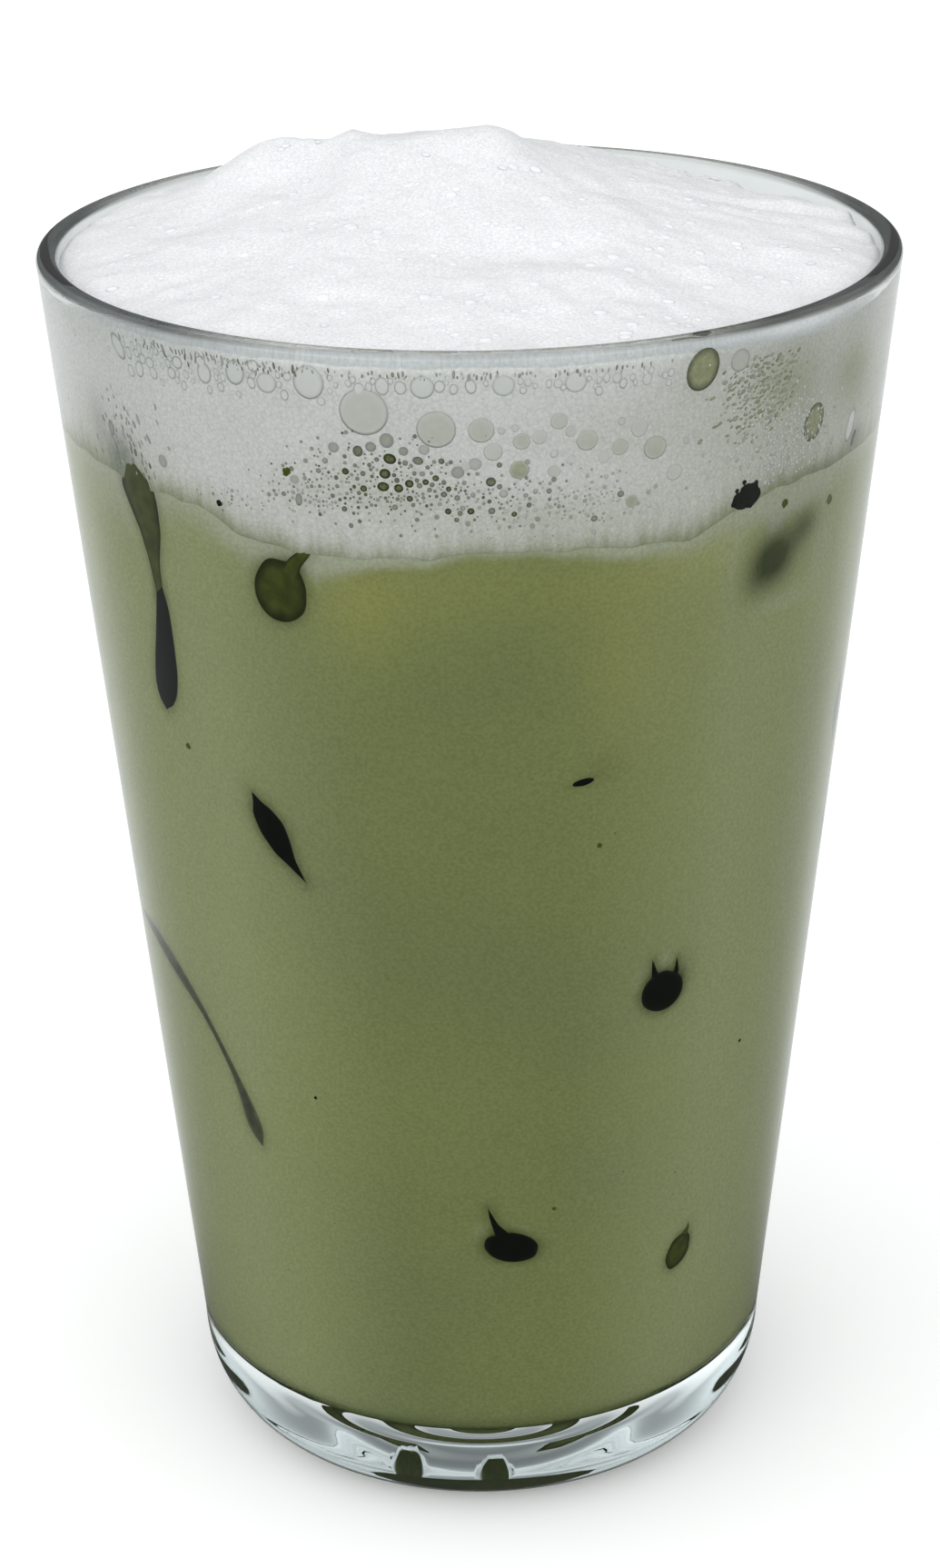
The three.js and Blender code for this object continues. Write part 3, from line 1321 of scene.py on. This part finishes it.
@dataclass
class Foam:
    """The milk foam, from the drink to its mound."""

    shape: FoamShape
    steps_round: int = 320
    wall_steps: int = 40
    top_rings: int = 90
    edge_rings: int = 9
    proud: float = 0.14
    green_at_line: Point = (0.66, 0.8)
    green_reach: Point = (2.0, 2.6)
    cloud: float = 0.06
    cloud_at_right: float = 0.12
    olive_stains: tuple[Stain, ...] = (
        Stain(46, 128, 7, 4, 0.6), Stain(61, 127, 6, 4, 0.65), Stain(38, 124, 12, 8, 0.25),
        Stain(30, 131, 3, 2.5, 0.4), Stain(50, 122, 5, 3, 0.3), Stain(70, 122, 12, 6, 0.5),
        Stain(-12, 121, 12, 3, 0.25), Stain(12, 118, 14, 2.5, 0.3), Stain(-62, 118, 9, 6, 0.35),
        Stain(20, 126, 10, 4, 0.15), Stain(140, 124, 25, 6, 0.35), Stain(-150, 122, 25, 6, 0.35),
    )
    # Patches of painted shade on the foam's wall, near the foam line
    foam_shade_stains: tuple[Stain, ...] = (
        Stain(-54.5, 119.3, 3.8, 3.0, 0.8), Stain(-59.5, 122.5, 2.5, 2.5, 0.3),
        Stain(56, 117.4, 8, 0.9, 0.4), Stain(65, 118.8, 3, 1.4, 0.6),
    )
    finish: MilkFoam = MilkFoam()

    def outline(self) -> list[Point]:
        """The foam's outline: radius as a share of the room, height as a share of the depth.

        Returns:
            The outline of a puck of radius 1 and height 1, finest where the foam rounds down.
        """
        rounded = 1 - self.shape.shoulder_width / self.shape.glass.mouth
        return [
            (0.0, 0.0), *stretch((0.0, 0.0), (1.0, 0.0), 8), (1.0, 0.0), (1.0, 0.003),
            *stretch((1.0, 0.003), (1.0, 1.0), self.wall_steps), (1.0, 1.0),
            *stretch((1.0, 1.0), (rounded, 1.0), self.edge_rings), (rounded, 1.0),
            *stretch((rounded, 1.0), (0.0, 1.0), self.top_rings), (0.0, 1.0),
        ]

    def build(self) -> Piece:
        """Fills the mouth of the glass with foam, and marks it greener, and with painted shade on top and
        in patches.

        Returns:
            The piece that stands for the foam.
        """
        puck = Filling("whipped_foam", self.outline(), self.steps_round)
        angle, share = puck.angle, puck.share
        line = self.shape.underside(share, angle)
        height = mix(line, self.shape.top(share, angle), puck.level)
        puck.fill(self.shape.glass, height, self.proud)
        on_wall = np.where(share > 0.995, 1.0, 0.0)
        cloud = self.cloud * (1 + Swell(7, (8.0, 3.5), 45).at(angle, height))
        cloud = cloud + self.cloud_at_right * smooth_step(5, 60, angle)
        aside = smooth_step(*CLOUDY_SIDES, np.abs(angle))
        reach = mix(*self.green_reach, aside)
        green = mix(*self.green_at_line, aside) * np.exp((line - height) / reach)
        # Marks the top for its painted shade
        puck.store(1 - on_wall, top=np.ones_like(share))
        # Greener and olive tones, and patches of painted shade, on the wall
        puck.store(
            on_wall, olive=cloud + sum_of(self.olive_stains, angle, height),
            foam_shade=sum_of(self.foam_shade_stains, angle, height), green=green,
        )
        piece = dress("whipped_foam", puck.mesh, self.finish.build())
        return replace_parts(piece, "milk_foam")


class BubbleKind(Enum):
    """The kinds of bubble that lie against the glass."""

    DARK = "wall_bubbles_dark"
    PALE = "wall_bubbles_pale"
    WINDOW = "wall_bubbles_window"
    FROTH = "wall_bubbles_froth"


@dataclass(frozen=True)
class Bubble:
    """One bubble: place, radius, how strongly it shows, how much taller than wide it is, and tilt."""

    angle: float
    height: float
    radius: float
    tone: float = 1.0
    tall: float = 1.0
    tilt: float = 0.0


@dataclass(frozen=True)
class BubblePatch:
    """A patch of bubbles against the glass: where it is, how many there are, and of what size."""

    angle: float
    height: float
    reach_angle: float
    reach_height: float
    count: int
    smallest: float
    largest: float
    tone: Point
    tall: Point = (1.0, 1.15)
    tilt: Point = (-10.0, 10.0)
    few_large: float = 2.5
    spacing: float = 1.12
    below_edge: float = 1.4


DARK, PALE, WINDOW, FROTH = BubbleKind.DARK, BubbleKind.PALE, BubbleKind.WINDOW, BubbleKind.FROTH
# The larger bubbles one by one, each as the fields of a Bubble
SINGLES: dict[BubbleKind, tuple[tuple[float, ...], ...]] = {
    DARK: (
        (-10.4, 124.4, 0.6, 1.0, 0.85, 15), (-11.1, 122.9, 0.52, 1.0, 0.95),
        (-11.4, 121.6, 0.55, 1.0, 0.85), (-9.4, 121.5, 0.42), (-8.0, 122.0, 0.4),
        (-10.7, 126.2, 0.66, 0.55, 1.1), (-12.8, 125.5, 0.5, 0.6, 1.0, 20),
        (-14.5, 125.0, 0.48, 0.85, 1.15), (-17.7, 125.2, 0.52, 0.5, 1.0, 25), (-8.6, 125.2, 0.44, 0.6),
        (-6.0, 125.4, 0.5, 0.35), (-6.8, 124.3, 0.5, 0.8, 0.8, 15), (-1.8, 123.2, 0.6, 0.5),
        (0.4, 124.0, 0.6, 0.3), (2.4, 122.2, 0.46, 0.9), (-16.3, 122.9, 0.34), (-14.0, 121.3, 0.33),
        (-8.0, 120.5, 0.3), (-5.9, 122.2, 0.3), (-4.6, 122.6, 0.3), (-3.6, 121.0, 0.3, 0.8),
        (-3.1, 119.3, 0.3), (-0.2, 119.3, 0.33), (2.5, 119.3, 0.33, 0.8), (5.4, 118.9, 0.26),
        (4.0, 121.0, 0.4, 0.3), (19.5, 120.1, 0.34, 0.7), (16.0, 117.9, 0.32, 0.7),
        (-23.0, 119.6, 0.36, 0.6, 1.8, 5), (-23.4, 121.6, 0.45, 0.4),
        (-45.0, 120.8, 0.6, 0.45, 1.1, -20), (64.0, 118.9, 0.4, 1.0, 2.2, 25),
        (-56.0, 122.4, 0.5, 0.6, 1.6, -10),
    ),
    PALE: (
        (-13.5, 128.9, 2.3, 0.3), (-4.4, 127.4, 1.8, 0.42), (1.2, 127.3, 1.2, 0.42),
        (6.0, 123.3, 0.9, 0.9), (11.0, 127.9, 0.8, 0.35), (14.7, 125.8, 1.0, 0.45),
        (19.1, 124.8, 0.8, 0.5), (6.3, 126.1, 0.8, 0.5), (24.0, 124.3, 1.15, 0.5),
        (21.1, 119.2, 0.62, 0.8), (10.5, 123.0, 0.6, 0.3), (27.0, 121.5, 0.8, 0.2),
    ),
    WINDOW: (
        (30.3, 131.3, 1.7, 0.95, 1.25, 20), (51.6, 122.9, 1.55, 0.9, 1.25, 14), (36.0, 131.5, 1.1, 0.3),
        (-150.0, 128.0, 1.8, 0.7), (118.0, 126.0, 1.6, 0.7),
    ),
    FROTH: (
        (-51.4, 131.4, 0.75, 0.9, 1.9, -34), (-30.8, 131.5, 1.0, 0.55, 1.25, 10),
        (-20.5, 131.4, 1.5, 0.28, 1.1), (-35.6, 130.9, 0.8, 0.7, 1.3), (-26.3, 130.9, 1.0, 0.3),
        (-36.0, 132.0, 0.55), (-40.0, 131.4, 0.62), (-28.0, 132.4, 0.6), (-6.0, 131.5, 1.1, 0.25),
        (4.0, 131.6, 1.0, 0.25), (13.0, 131.6, 1.0, 0.22), (62.2, 120.6, 0.8, 0.9, 2.2, 15),
    ),
}
PATCHES: dict[BubbleKind, tuple[BubblePatch, ...]] = {
    DARK: (
        BubblePatch(-12, 122.4, 9.5, 3.2, 460, 0.1, 0.3, (0.55, 1.0)),
        BubblePatch(-2, 120.8, 13.0, 2.6, 300, 0.1, 0.26, (0.35, 0.85)),
        BubblePatch(12, 119.6, 11.0, 2.6, 220, 0.09, 0.24, (0.15, 0.55)),
        BubblePatch(-21, 120.4, 6.0, 2.0, 150, 0.1, 0.26, (0.3, 0.8)),
        BubblePatch(-33, 118.8, 7.0, 1.2, 34, 0.09, 0.2, (0.3, 0.8)),
        BubblePatch(-53, 121.4, 6.0, 4.2, 110, 0.12, 0.22, (0.4, 0.8), (1.6, 2.8), (-30, -5)),
        BubblePatch(-49, 119.0, 3.0, 1.6, 14, 0.14, 0.26, (0.6, 1.0), (1.4, 2.2), (-30, -5)),
        BubblePatch(47, 120.8, 10.0, 3.6, 330, 0.11, 0.24, (0.1, 0.42), (0.9, 1.8)),
        BubblePatch(-33, 132.4, 13.0, 0.6, 190, 0.08, 0.16, (0.4, 0.9), (1.8, 4.0), (-25, 10),
                    2.5, 1.05, 0.7),
        BubblePatch(2, 132.6, 26.0, 0.4, 150, 0.08, 0.17, (0.3, 0.8), (1.4, 3.0), (-10, 10),
                    2.5, 1.05, 0.7),
        BubblePatch(130, 121.5, 22.0, 3.0, 160, 0.12, 0.4, (0.3, 0.8)),
        BubblePatch(-125, 122.0, 22.0, 3.0, 160, 0.12, 0.4, (0.3, 0.8)),
        BubblePatch(178, 120.5, 18.0, 2.4, 120, 0.12, 0.34, (0.3, 0.7)),
        BubblePatch(85, 121.0, 14.0, 3.0, 90, 0.12, 0.3, (0.2, 0.6)),
        BubblePatch(-85, 121.0, 14.0, 3.0, 90, 0.12, 0.3, (0.2, 0.6)),
    ),
    PALE: (
        BubblePatch(12, 125.5, 16.0, 3.0, 26, 0.35, 0.9, (0.1, 0.3), (1.0, 1.15), (-10, 10), 1.5),
        BubblePatch(150, 126.0, 30.0, 3.0, 30, 0.4, 1.5, (0.2, 0.6)),
        BubblePatch(-150, 126.0, 30.0, 3.0, 30, 0.4, 1.5, (0.2, 0.6)),
    ),
    WINDOW: (
        BubblePatch(40, 128.6, 5.0, 3.8, 900, 0.16, 0.36, (0.6, 1.0), (0.4, 0.75), (-50, 15), 1.4, 0.8),
    ),
    FROTH: (
        BubblePatch(46, 122.4, 9.0, 3.4, 420, 0.12, 0.24, (0.3, 0.8), (0.8, 1.3), (-30, 20), 1.6, 0.9),
        BubblePatch(-38, 131.4, 12.0, 1.5, 260, 0.26, 0.72, (0.6, 1.0), (1.0, 1.7), (-25, 10), 1.8, 0.92),
        BubblePatch(-10, 131.9, 14.0, 1.1, 240, 0.24, 0.7, (0.5, 0.95), (1.0, 1.5), (-10, 10), 1.8, 0.92),
        BubblePatch(14, 132.0, 13.0, 1.0, 220, 0.24, 0.66, (0.45, 0.9), (1.0, 1.5), (-10, 10), 1.8, 0.92),
        BubblePatch(120, 130.0, 30.0, 1.6, 150, 0.25, 0.9, (0.4, 0.9)),
        BubblePatch(-110, 130.8, 30.0, 1.6, 170, 0.25, 0.9, (0.4, 0.9)),
        BubblePatch(180, 130.5, 25.0, 1.6, 120, 0.25, 0.9, (0.4, 0.9)),
    ),
}


@dataclass
class WallBubbles:
    """Bubbles of the foam that lie against the glass."""

    foam: FoamShape
    proud: float = 0.14
    depth: float = 0.05
    seed: int = 11
    spread: float = 0.55
    above_line: float = 0.8
    fine_below: float = 0.4

    @staticmethod
    def finishes() -> dict[BubbleKind, Film]:
        """The look of each kind, over the foam's own colour; the darker tones are painted shade seen into
        the bubbles.
        """
        foam = "f6f7f4"
        return {
            DARK: Film("dark_bubble_film", "7c8059", "33381f", foam, 0.3, 0.95, 0.25, 0.35),
            PALE: Film("pale_bubble_film", "bfc0a4", "d4d5c6", foam, 0.6, 1.0, 0.7, 0.1),
            WINDOW: Film("olive_bubble_film", "aeb088", "6f7356", foam, 0.55, 1.0, 0.5, 0.15),
            FROTH: Film("froth_bubble_film", "fdfdfc", "b4b8ac", foam, 0.68, 0.98, 0.5, 0.03),
        }

    def draw(self, patch: BubblePatch, taken: list[Bubble], draws: np.random.Generator) -> None:
        """Draws the bubbles of a patch so that none lies on another.

        Args:
            patch: The patch.
            taken: The bubbles so far, to which the new ones are added.
            draws: The source of random numbers.
        """
        angle = patch.angle + draws.normal(0, self.spread, patch.count) * patch.reach_angle
        height = patch.height + draws.normal(0, self.spread, patch.count) * patch.reach_height
        radius = mix(patch.smallest, patch.largest, draws.random(patch.count) ** patch.few_large)
        tall = draws.uniform(*patch.tall, patch.count)
        tone = draws.uniform(*patch.tone, patch.count)
        tilt = draws.uniform(*patch.tilt, patch.count)
        low = self.foam.line(angle) + self.above_line + radius * tall
        high = self.foam.edge(angle) - patch.below_edge - radius * tall * 0.6
        for i in np.flatnonzero((height > low) & (height < high)):
            others = np.array([(b.angle, b.height, b.radius) for b in taken]).reshape(-1, 3).T
            side = np.radians(angle_between(others[0], angle[i])) * self.foam.glass.inner(height[i])
            reach = (others[2] + radius[i] * max(1.0, tall[i] * 0.8)) * patch.spacing
            if np.all(np.hypot(side, others[1] - height[i]) > reach):
                values = (angle[i], height[i], radius[i], tone[i], tall[i], tilt[i])
                taken.append(Bubble(*map(float, values)))

    def build(self) -> None:
        """Makes one piece for each kind, as flat lenses against the wall."""
        draws = np.random.default_rng(self.seed)
        large, small = Template.lens(24, 6), Template.lens(12, 4)
        for kind, film in self.finishes().items():
            taken = [Bubble(*row) for row in SINGLES[kind]]
            for patch in PATCHES[kind]:
                self.draw(patch, taken, draws)
            gathering = Gathering(kind.value)
            for bubble in taken:
                lens = large if bubble.radius > self.fine_below else small
                size = np.array([bubble.radius, bubble.radius * bubble.tall, self.depth])
                place = (bubble.angle, bubble.height, bubble.tilt)
                gathering.lay(self.foam.glass, lens, size, place, self.proud, bubble.tone)
            gathering.build(film.build(), Slot.FOAM)


@dataclass
class TopBubbles:
    """Single bubbles that stand on the foam's top."""

    foam: FoamShape
    count: int = 1500
    seed: int = 23
    smallest: float = 0.1
    largest: float = 0.7
    few_large: float = 6.0
    fine_below: float = 0.35
    flatness: float = 0.3
    from_wall: float = 1.6
    slope_step: float = 0.6
    tone: Point = (0.15, 0.9)

    def build(self) -> Piece:
        """Scatters low domes, nearly all of them tiny.

        Returns:
            The piece.
        """
        draws = np.random.default_rng(self.seed)
        reach = (self.foam.glass.mouth - self.from_wall) * np.sqrt(draws.random(self.count))
        turn = draws.uniform(-math.pi, math.pi, self.count)
        x, y = reach * np.sin(turn), -reach * np.cos(turn)
        radius = mix(self.smallest, self.largest, draws.random(self.count) ** self.few_large)
        tone = draws.uniform(*self.tone, self.count)
        middle = self.foam.top_points(x, y)
        aside = self.foam.top_points(x + self.slope_step, y) - middle
        behind = self.foam.top_points(x, y + self.slope_step) - middle
        small, large = Template.lens(10, 6), Template.lens(20, 10)
        gathering = Gathering("top_bubbles")
        for i, up in enumerate(np.cross(aside, behind)):
            dome = large if radius[i] > self.fine_below else small
            basis = np.array(Vector(up).to_track_quat("Z", "Y").to_matrix())
            size = radius[i] * np.array([1.0, 1.0, self.flatness])
            gathering.add((dome.points * size) @ basis.T + middle[i], dome.faces, dome.rim, tone[i])
        # Painted shade round each dome's rim and a faint painted highlight in its middle
        film = Film("top_bubble_film", "e3e4e5", "bfc3c5", "dfe0e1", 0.7, 1.0, 0.5, 0.02, 0.15, 0.4)
        return gathering.build(film.build(), Slot.FOAM)


@dataclass(frozen=True)
class Grain:
    """A grain of tea powder against the glass."""

    angle: float
    height: float
    radius: float
    dark: bool = True


@dataclass
class Powder:
    """Grains of tea powder that didn't dissolve."""

    glass: TumblerShape
    grains: tuple[Grain, ...] = (
        Grain(37.9, 117.2, 0.85), Grain(39.8, 117.5, 1.2), Grain(38.6, 116.6, 0.6),
        Grain(37.4, 118.2, 0.26), Grain(38.6, 118.9, 0.28), Grain(40.7, 118.5, 0.3),
        Grain(-35.5, 117.9, 0.36), Grain(-24.5, 122.3, 0.38, False), Grain(-47.7, 89.9, 0.32, False),
        Grain(18.7, 82.8, 0.24, False), Grain(-28.9, 52.2, 0.18), Grain(13.2, 40.0, 0.2, False),
        Grain(47.0, 115.4, 0.42, False), Grain(58.5, 113.6, 0.5, False), Grain(51.0, 54.0, 0.2),
        Grain(150.0, 112.0, 0.5), Grain(-98.0, 84.0, 0.3, False), Grain(104.0, 62.0, 0.3, False),
    )
    proud: float = 0.12
    seed: int = 5
    dust_count: int = 260
    dust_heights: Point = (16, 112)
    dust_sizes: Point = (0.05, 0.12)

    def build(self) -> None:
        """Makes the dark clumps, the loose green grains and the fine dust of powder."""
        draws = np.random.default_rng(self.seed)
        lump, speck = Template.lump(3), Template.lump(1)
        across, along = lump.points[:, 0] + 9, lump.points[:, 1] + lump.points[:, 2] + 9
        dark, loose = Gathering("powder_clumps"), Gathering("powder_grains")
        for index, grain in enumerate(self.grains):
            uneven = 1 + 0.25 * Swell(40 + index, (0.55, 0.55)).at(across, along)
            size = grain.radius * np.array([1.0, draws.uniform(0.85, 1.25), 0.3]) * uneven[:, None]
            place = (grain.angle, grain.height, draws.uniform(-40, 40))
            (dark if grain.dark else loose).lay(self.glass, lump, size, place, self.proud)
        for _ in range(self.dust_count):
            place = (draws.uniform(-180, 180), draws.uniform(*self.dust_heights), 0.0)
            size = mix(*self.dust_sizes, draws.random() ** 2) * np.array([1.0, 1.0, 0.4])
            loose.lay(self.glass, speck, size, place, self.proud, draws.uniform(0.3, 0.8))
        for gathering, name, colour, mottle_mm, mottle in (
            (dark, "powder_clump", "0c1207", 0.4, 0.5), (loose, "powder_grain", "56641f", 0.3, 0.2),
        ):
            film = Film(name, colour, colour, MILKY_GREEN, mottle_mm=mottle_mm, mottle=mottle)
            gathering.build(film.build(), Slot.DRINK)


@dataclass
class Studio:
    """A pale floor, soft light from above, and the camera."""

    floor_size: float = 6.0
    floor_level: float = -0.0002
    # The floor's tone as the glass sees it: a painted shadow in front, paler aside and behind
    floor_shadow_in_front: str = "5c5e5c"
    floor_aside: str = "8a8c8b"
    floor_behind: str = "dee0df"
    floor_glow: float = 0.09
    # Each band of the sky: its direction, where it starts and ends, and its light at both
    sky_bands: tuple[tuple[str, float, float, float, float], ...] = (
        ("z", 0.0, 0.15, 0.5, 1.0), ("z", 0.15, 1.0, 2.12, 0.97),
        ("x", -0.9, -0.15, 1.25, 0.8), ("x", 0.15, 0.9, 0.97, 1.2),
        ("y", -0.2, -0.9, 0.9, 1.4), ("leaned", -0.2, 0.42, 0.15, 1.0),
    )
    lamp_size: Point = (0.9, 0.5)
    lamp_watts: float = 0.25
    lamp_place: tuple[float, float, float] = (0.05, 0.5, 0.95)
    lamp_aim: tuple[float, float, float] = (0.0, 0.0, 0.1)
    camera_place: tuple[float, float, float] = (0.0, -0.33287, 0.21732)
    pitch: float = 0.4065
    pan: float = -0.0018
    roll: float = 0.0122
    focal_px: float = 3651.7
    sensor: float = 36.0

    def paint_floor(self) -> Material:
        """Makes the floor's paper: white to the camera; for the glass, toned by direction with a painted
        shadow in front.

        Returns:
            The material.
        """
        material, tree, _ = new_material("pale_paper")
        place = add_node(tree, "TexCoord").outputs["Object"]
        x, y, _ = add_node(tree, "SeparateXYZ", inputs=(place,)).outputs
        aside = add_node(tree, "Math", {"operation": "ABSOLUTE"}, (x,))
        ahead = add_node(tree, "Math", PRODUCT, (y, -1.0))
        tone = linear(self.floor_shadow_in_front)
        for side, along, start, end, colour in (
            (aside, ahead, 1.8, 3.6, self.floor_aside), (y, aside, 0.0, 1.1, self.floor_behind),
        ):
            along = add_node(tree, "Math", {"operation": "MAXIMUM"}, (along, 0.02))
            slope = add_node(tree, "Math", {"operation": "DIVIDE"}, (side, along))
            share = add_node(tree, "MapRange", SMOOTH, (slope, start, end))
            inputs = {"Factor": share, "A": tone, "B": linear(colour)}
            tone = add_node(tree, "Mix", IN_COLOUR, inputs)
        white = linear("ffffff")
        paper = add_node(tree, "BsdfDiffuse", inputs={"Color": white})
        glow = add_node(tree, "Emission", inputs={"Color": white, "Strength": self.floor_glow})
        seen = add_node(tree, "AddShader", inputs=(paper, glow))
        lit = add_node(tree, "BsdfDiffuse", inputs={"Color": tone})
        to_camera = add_node(tree, "LightPath").outputs["Is Camera Ray"]
        shader = add_node(tree, "MixShader", inputs=(to_camera, lit, seen))
        add_node(tree, "OutputMaterial", inputs={"Surface": shader})
        return material

    def build_floor(self) -> None:
        """Lays the floor."""
        bm = bmesh.new()
        bmesh.ops.create_grid(bm, x_segments=2, y_segments=2, size=self.floor_size / 2)
        bmesh.ops.translate(bm, vec=(0, 0, self.floor_level), verts=bm.verts)
        mesh = to_mesh("floor", bm)
        mesh.materials.append(self.paint_floor())
        floor = bpy.data.objects.new("floor", mesh)
        bpy.context.scene.collection.objects.link(floor)

    def build_world(self) -> None:
        """Surrounds the glass with soft light: bright overhead, dark at the horizon."""
        world = bpy.data.worlds.new("studio")
        bpy.context.scene.world = world
        world.use_nodes = True
        tree = world.node_tree
        tree.nodes.clear()
        place = add_node(tree, "TexCoord").outputs["Generated"]
        x, y, z = add_node(tree, "SeparateXYZ", inputs=(place,)).outputs
        leaned = add_node(tree, "Math", SUM, (z, add_node(tree, "Math", PRODUCT, (y, -0.5))))
        directions = {"x": x, "y": y, "z": z, "leaned": leaned}
        strength = 1.0
        for direction, *band in self.sky_bands:
            factor = add_node(tree, "MapRange", SMOOTH, (directions[direction], *band))
            strength = add_node(tree, "Math", PRODUCT, (factor, strength))
        soft = add_node(tree, "Background", inputs=(linear("fdfeff"), strength))
        plain = add_node(tree, "Background", inputs=(linear("ffffff"), 1.0))
        to_camera = add_node(tree, "LightPath").outputs["Is Camera Ray"]
        sky = add_node(tree, "MixShader", inputs=(to_camera, soft, plain))
        add_node(tree, "OutputWorld", inputs={"Surface": sky})

    def build_light(self) -> None:
        """Hangs one large soft box behind and above the glass."""
        light = bpy.data.lights.new("soft_box", "AREA")
        light.shape = "RECTANGLE"
        light.size, light.size_y = self.lamp_size
        light.energy = self.lamp_watts
        lamp = bpy.data.objects.new("soft_box", light)
        bpy.context.scene.collection.objects.link(lamp)
        lamp.location = self.lamp_place
        aim = Vector(self.lamp_aim) - lamp.location
        lamp.rotation_euler = aim.to_track_quat("-Z", "Y").to_euler()

    def build_camera(self) -> None:
        """Sets the camera where the photograph was taken from."""
        cos_pitch, sin_pitch = math.cos(self.pitch), math.sin(self.pitch)
        ahead = Vector((math.sin(self.pan) * cos_pitch, math.cos(self.pan) * cos_pitch, -sin_pitch))
        right = Vector((math.cos(self.pan), -math.sin(self.pan), 0.0))
        up = right.cross(ahead)
        cos_roll, sin_roll = math.cos(self.roll), math.sin(self.roll)
        across = right * cos_roll - up * sin_roll
        upward = right * sin_roll + up * cos_roll
        data = bpy.data.cameras.new("camera")
        data.sensor_width = self.sensor
        data.lens = self.focal_px / PHOTO_HEIGHT_PX * self.sensor
        data.clip_start, data.clip_end = 0.01, 20.0
        camera = bpy.data.objects.new("camera", data)
        bpy.context.scene.collection.objects.link(camera)
        axes = Matrix((across, upward, -ahead)).transposed().to_4x4()
        camera.matrix_world = Matrix.Translation(self.camera_place) @ axes
        bpy.context.scene.camera = camera

    def build(self) -> None:
        """Sets up floor, world, light, camera and the plain view transform."""
        self.build_floor()
        self.build_world()
        self.build_light()
        self.build_camera()
        bpy.context.scene.view_settings.view_transform = "Standard"


def main() -> None:
    """Builds the latte and its studio."""
    logging.basicConfig(level=logging.INFO, format="%(name)s %(message)s")
    glass, foam = frame_shapes()
    Tumbler(glass).build()
    Drink(foam).build()
    SunkIce(glass).build()
    Foam(foam).build()
    WallBubbles(foam).build()
    TopBubbles(foam).build()
    Powder(glass).build()
    Studio().build()


if __name__ == "__main__":
    main()
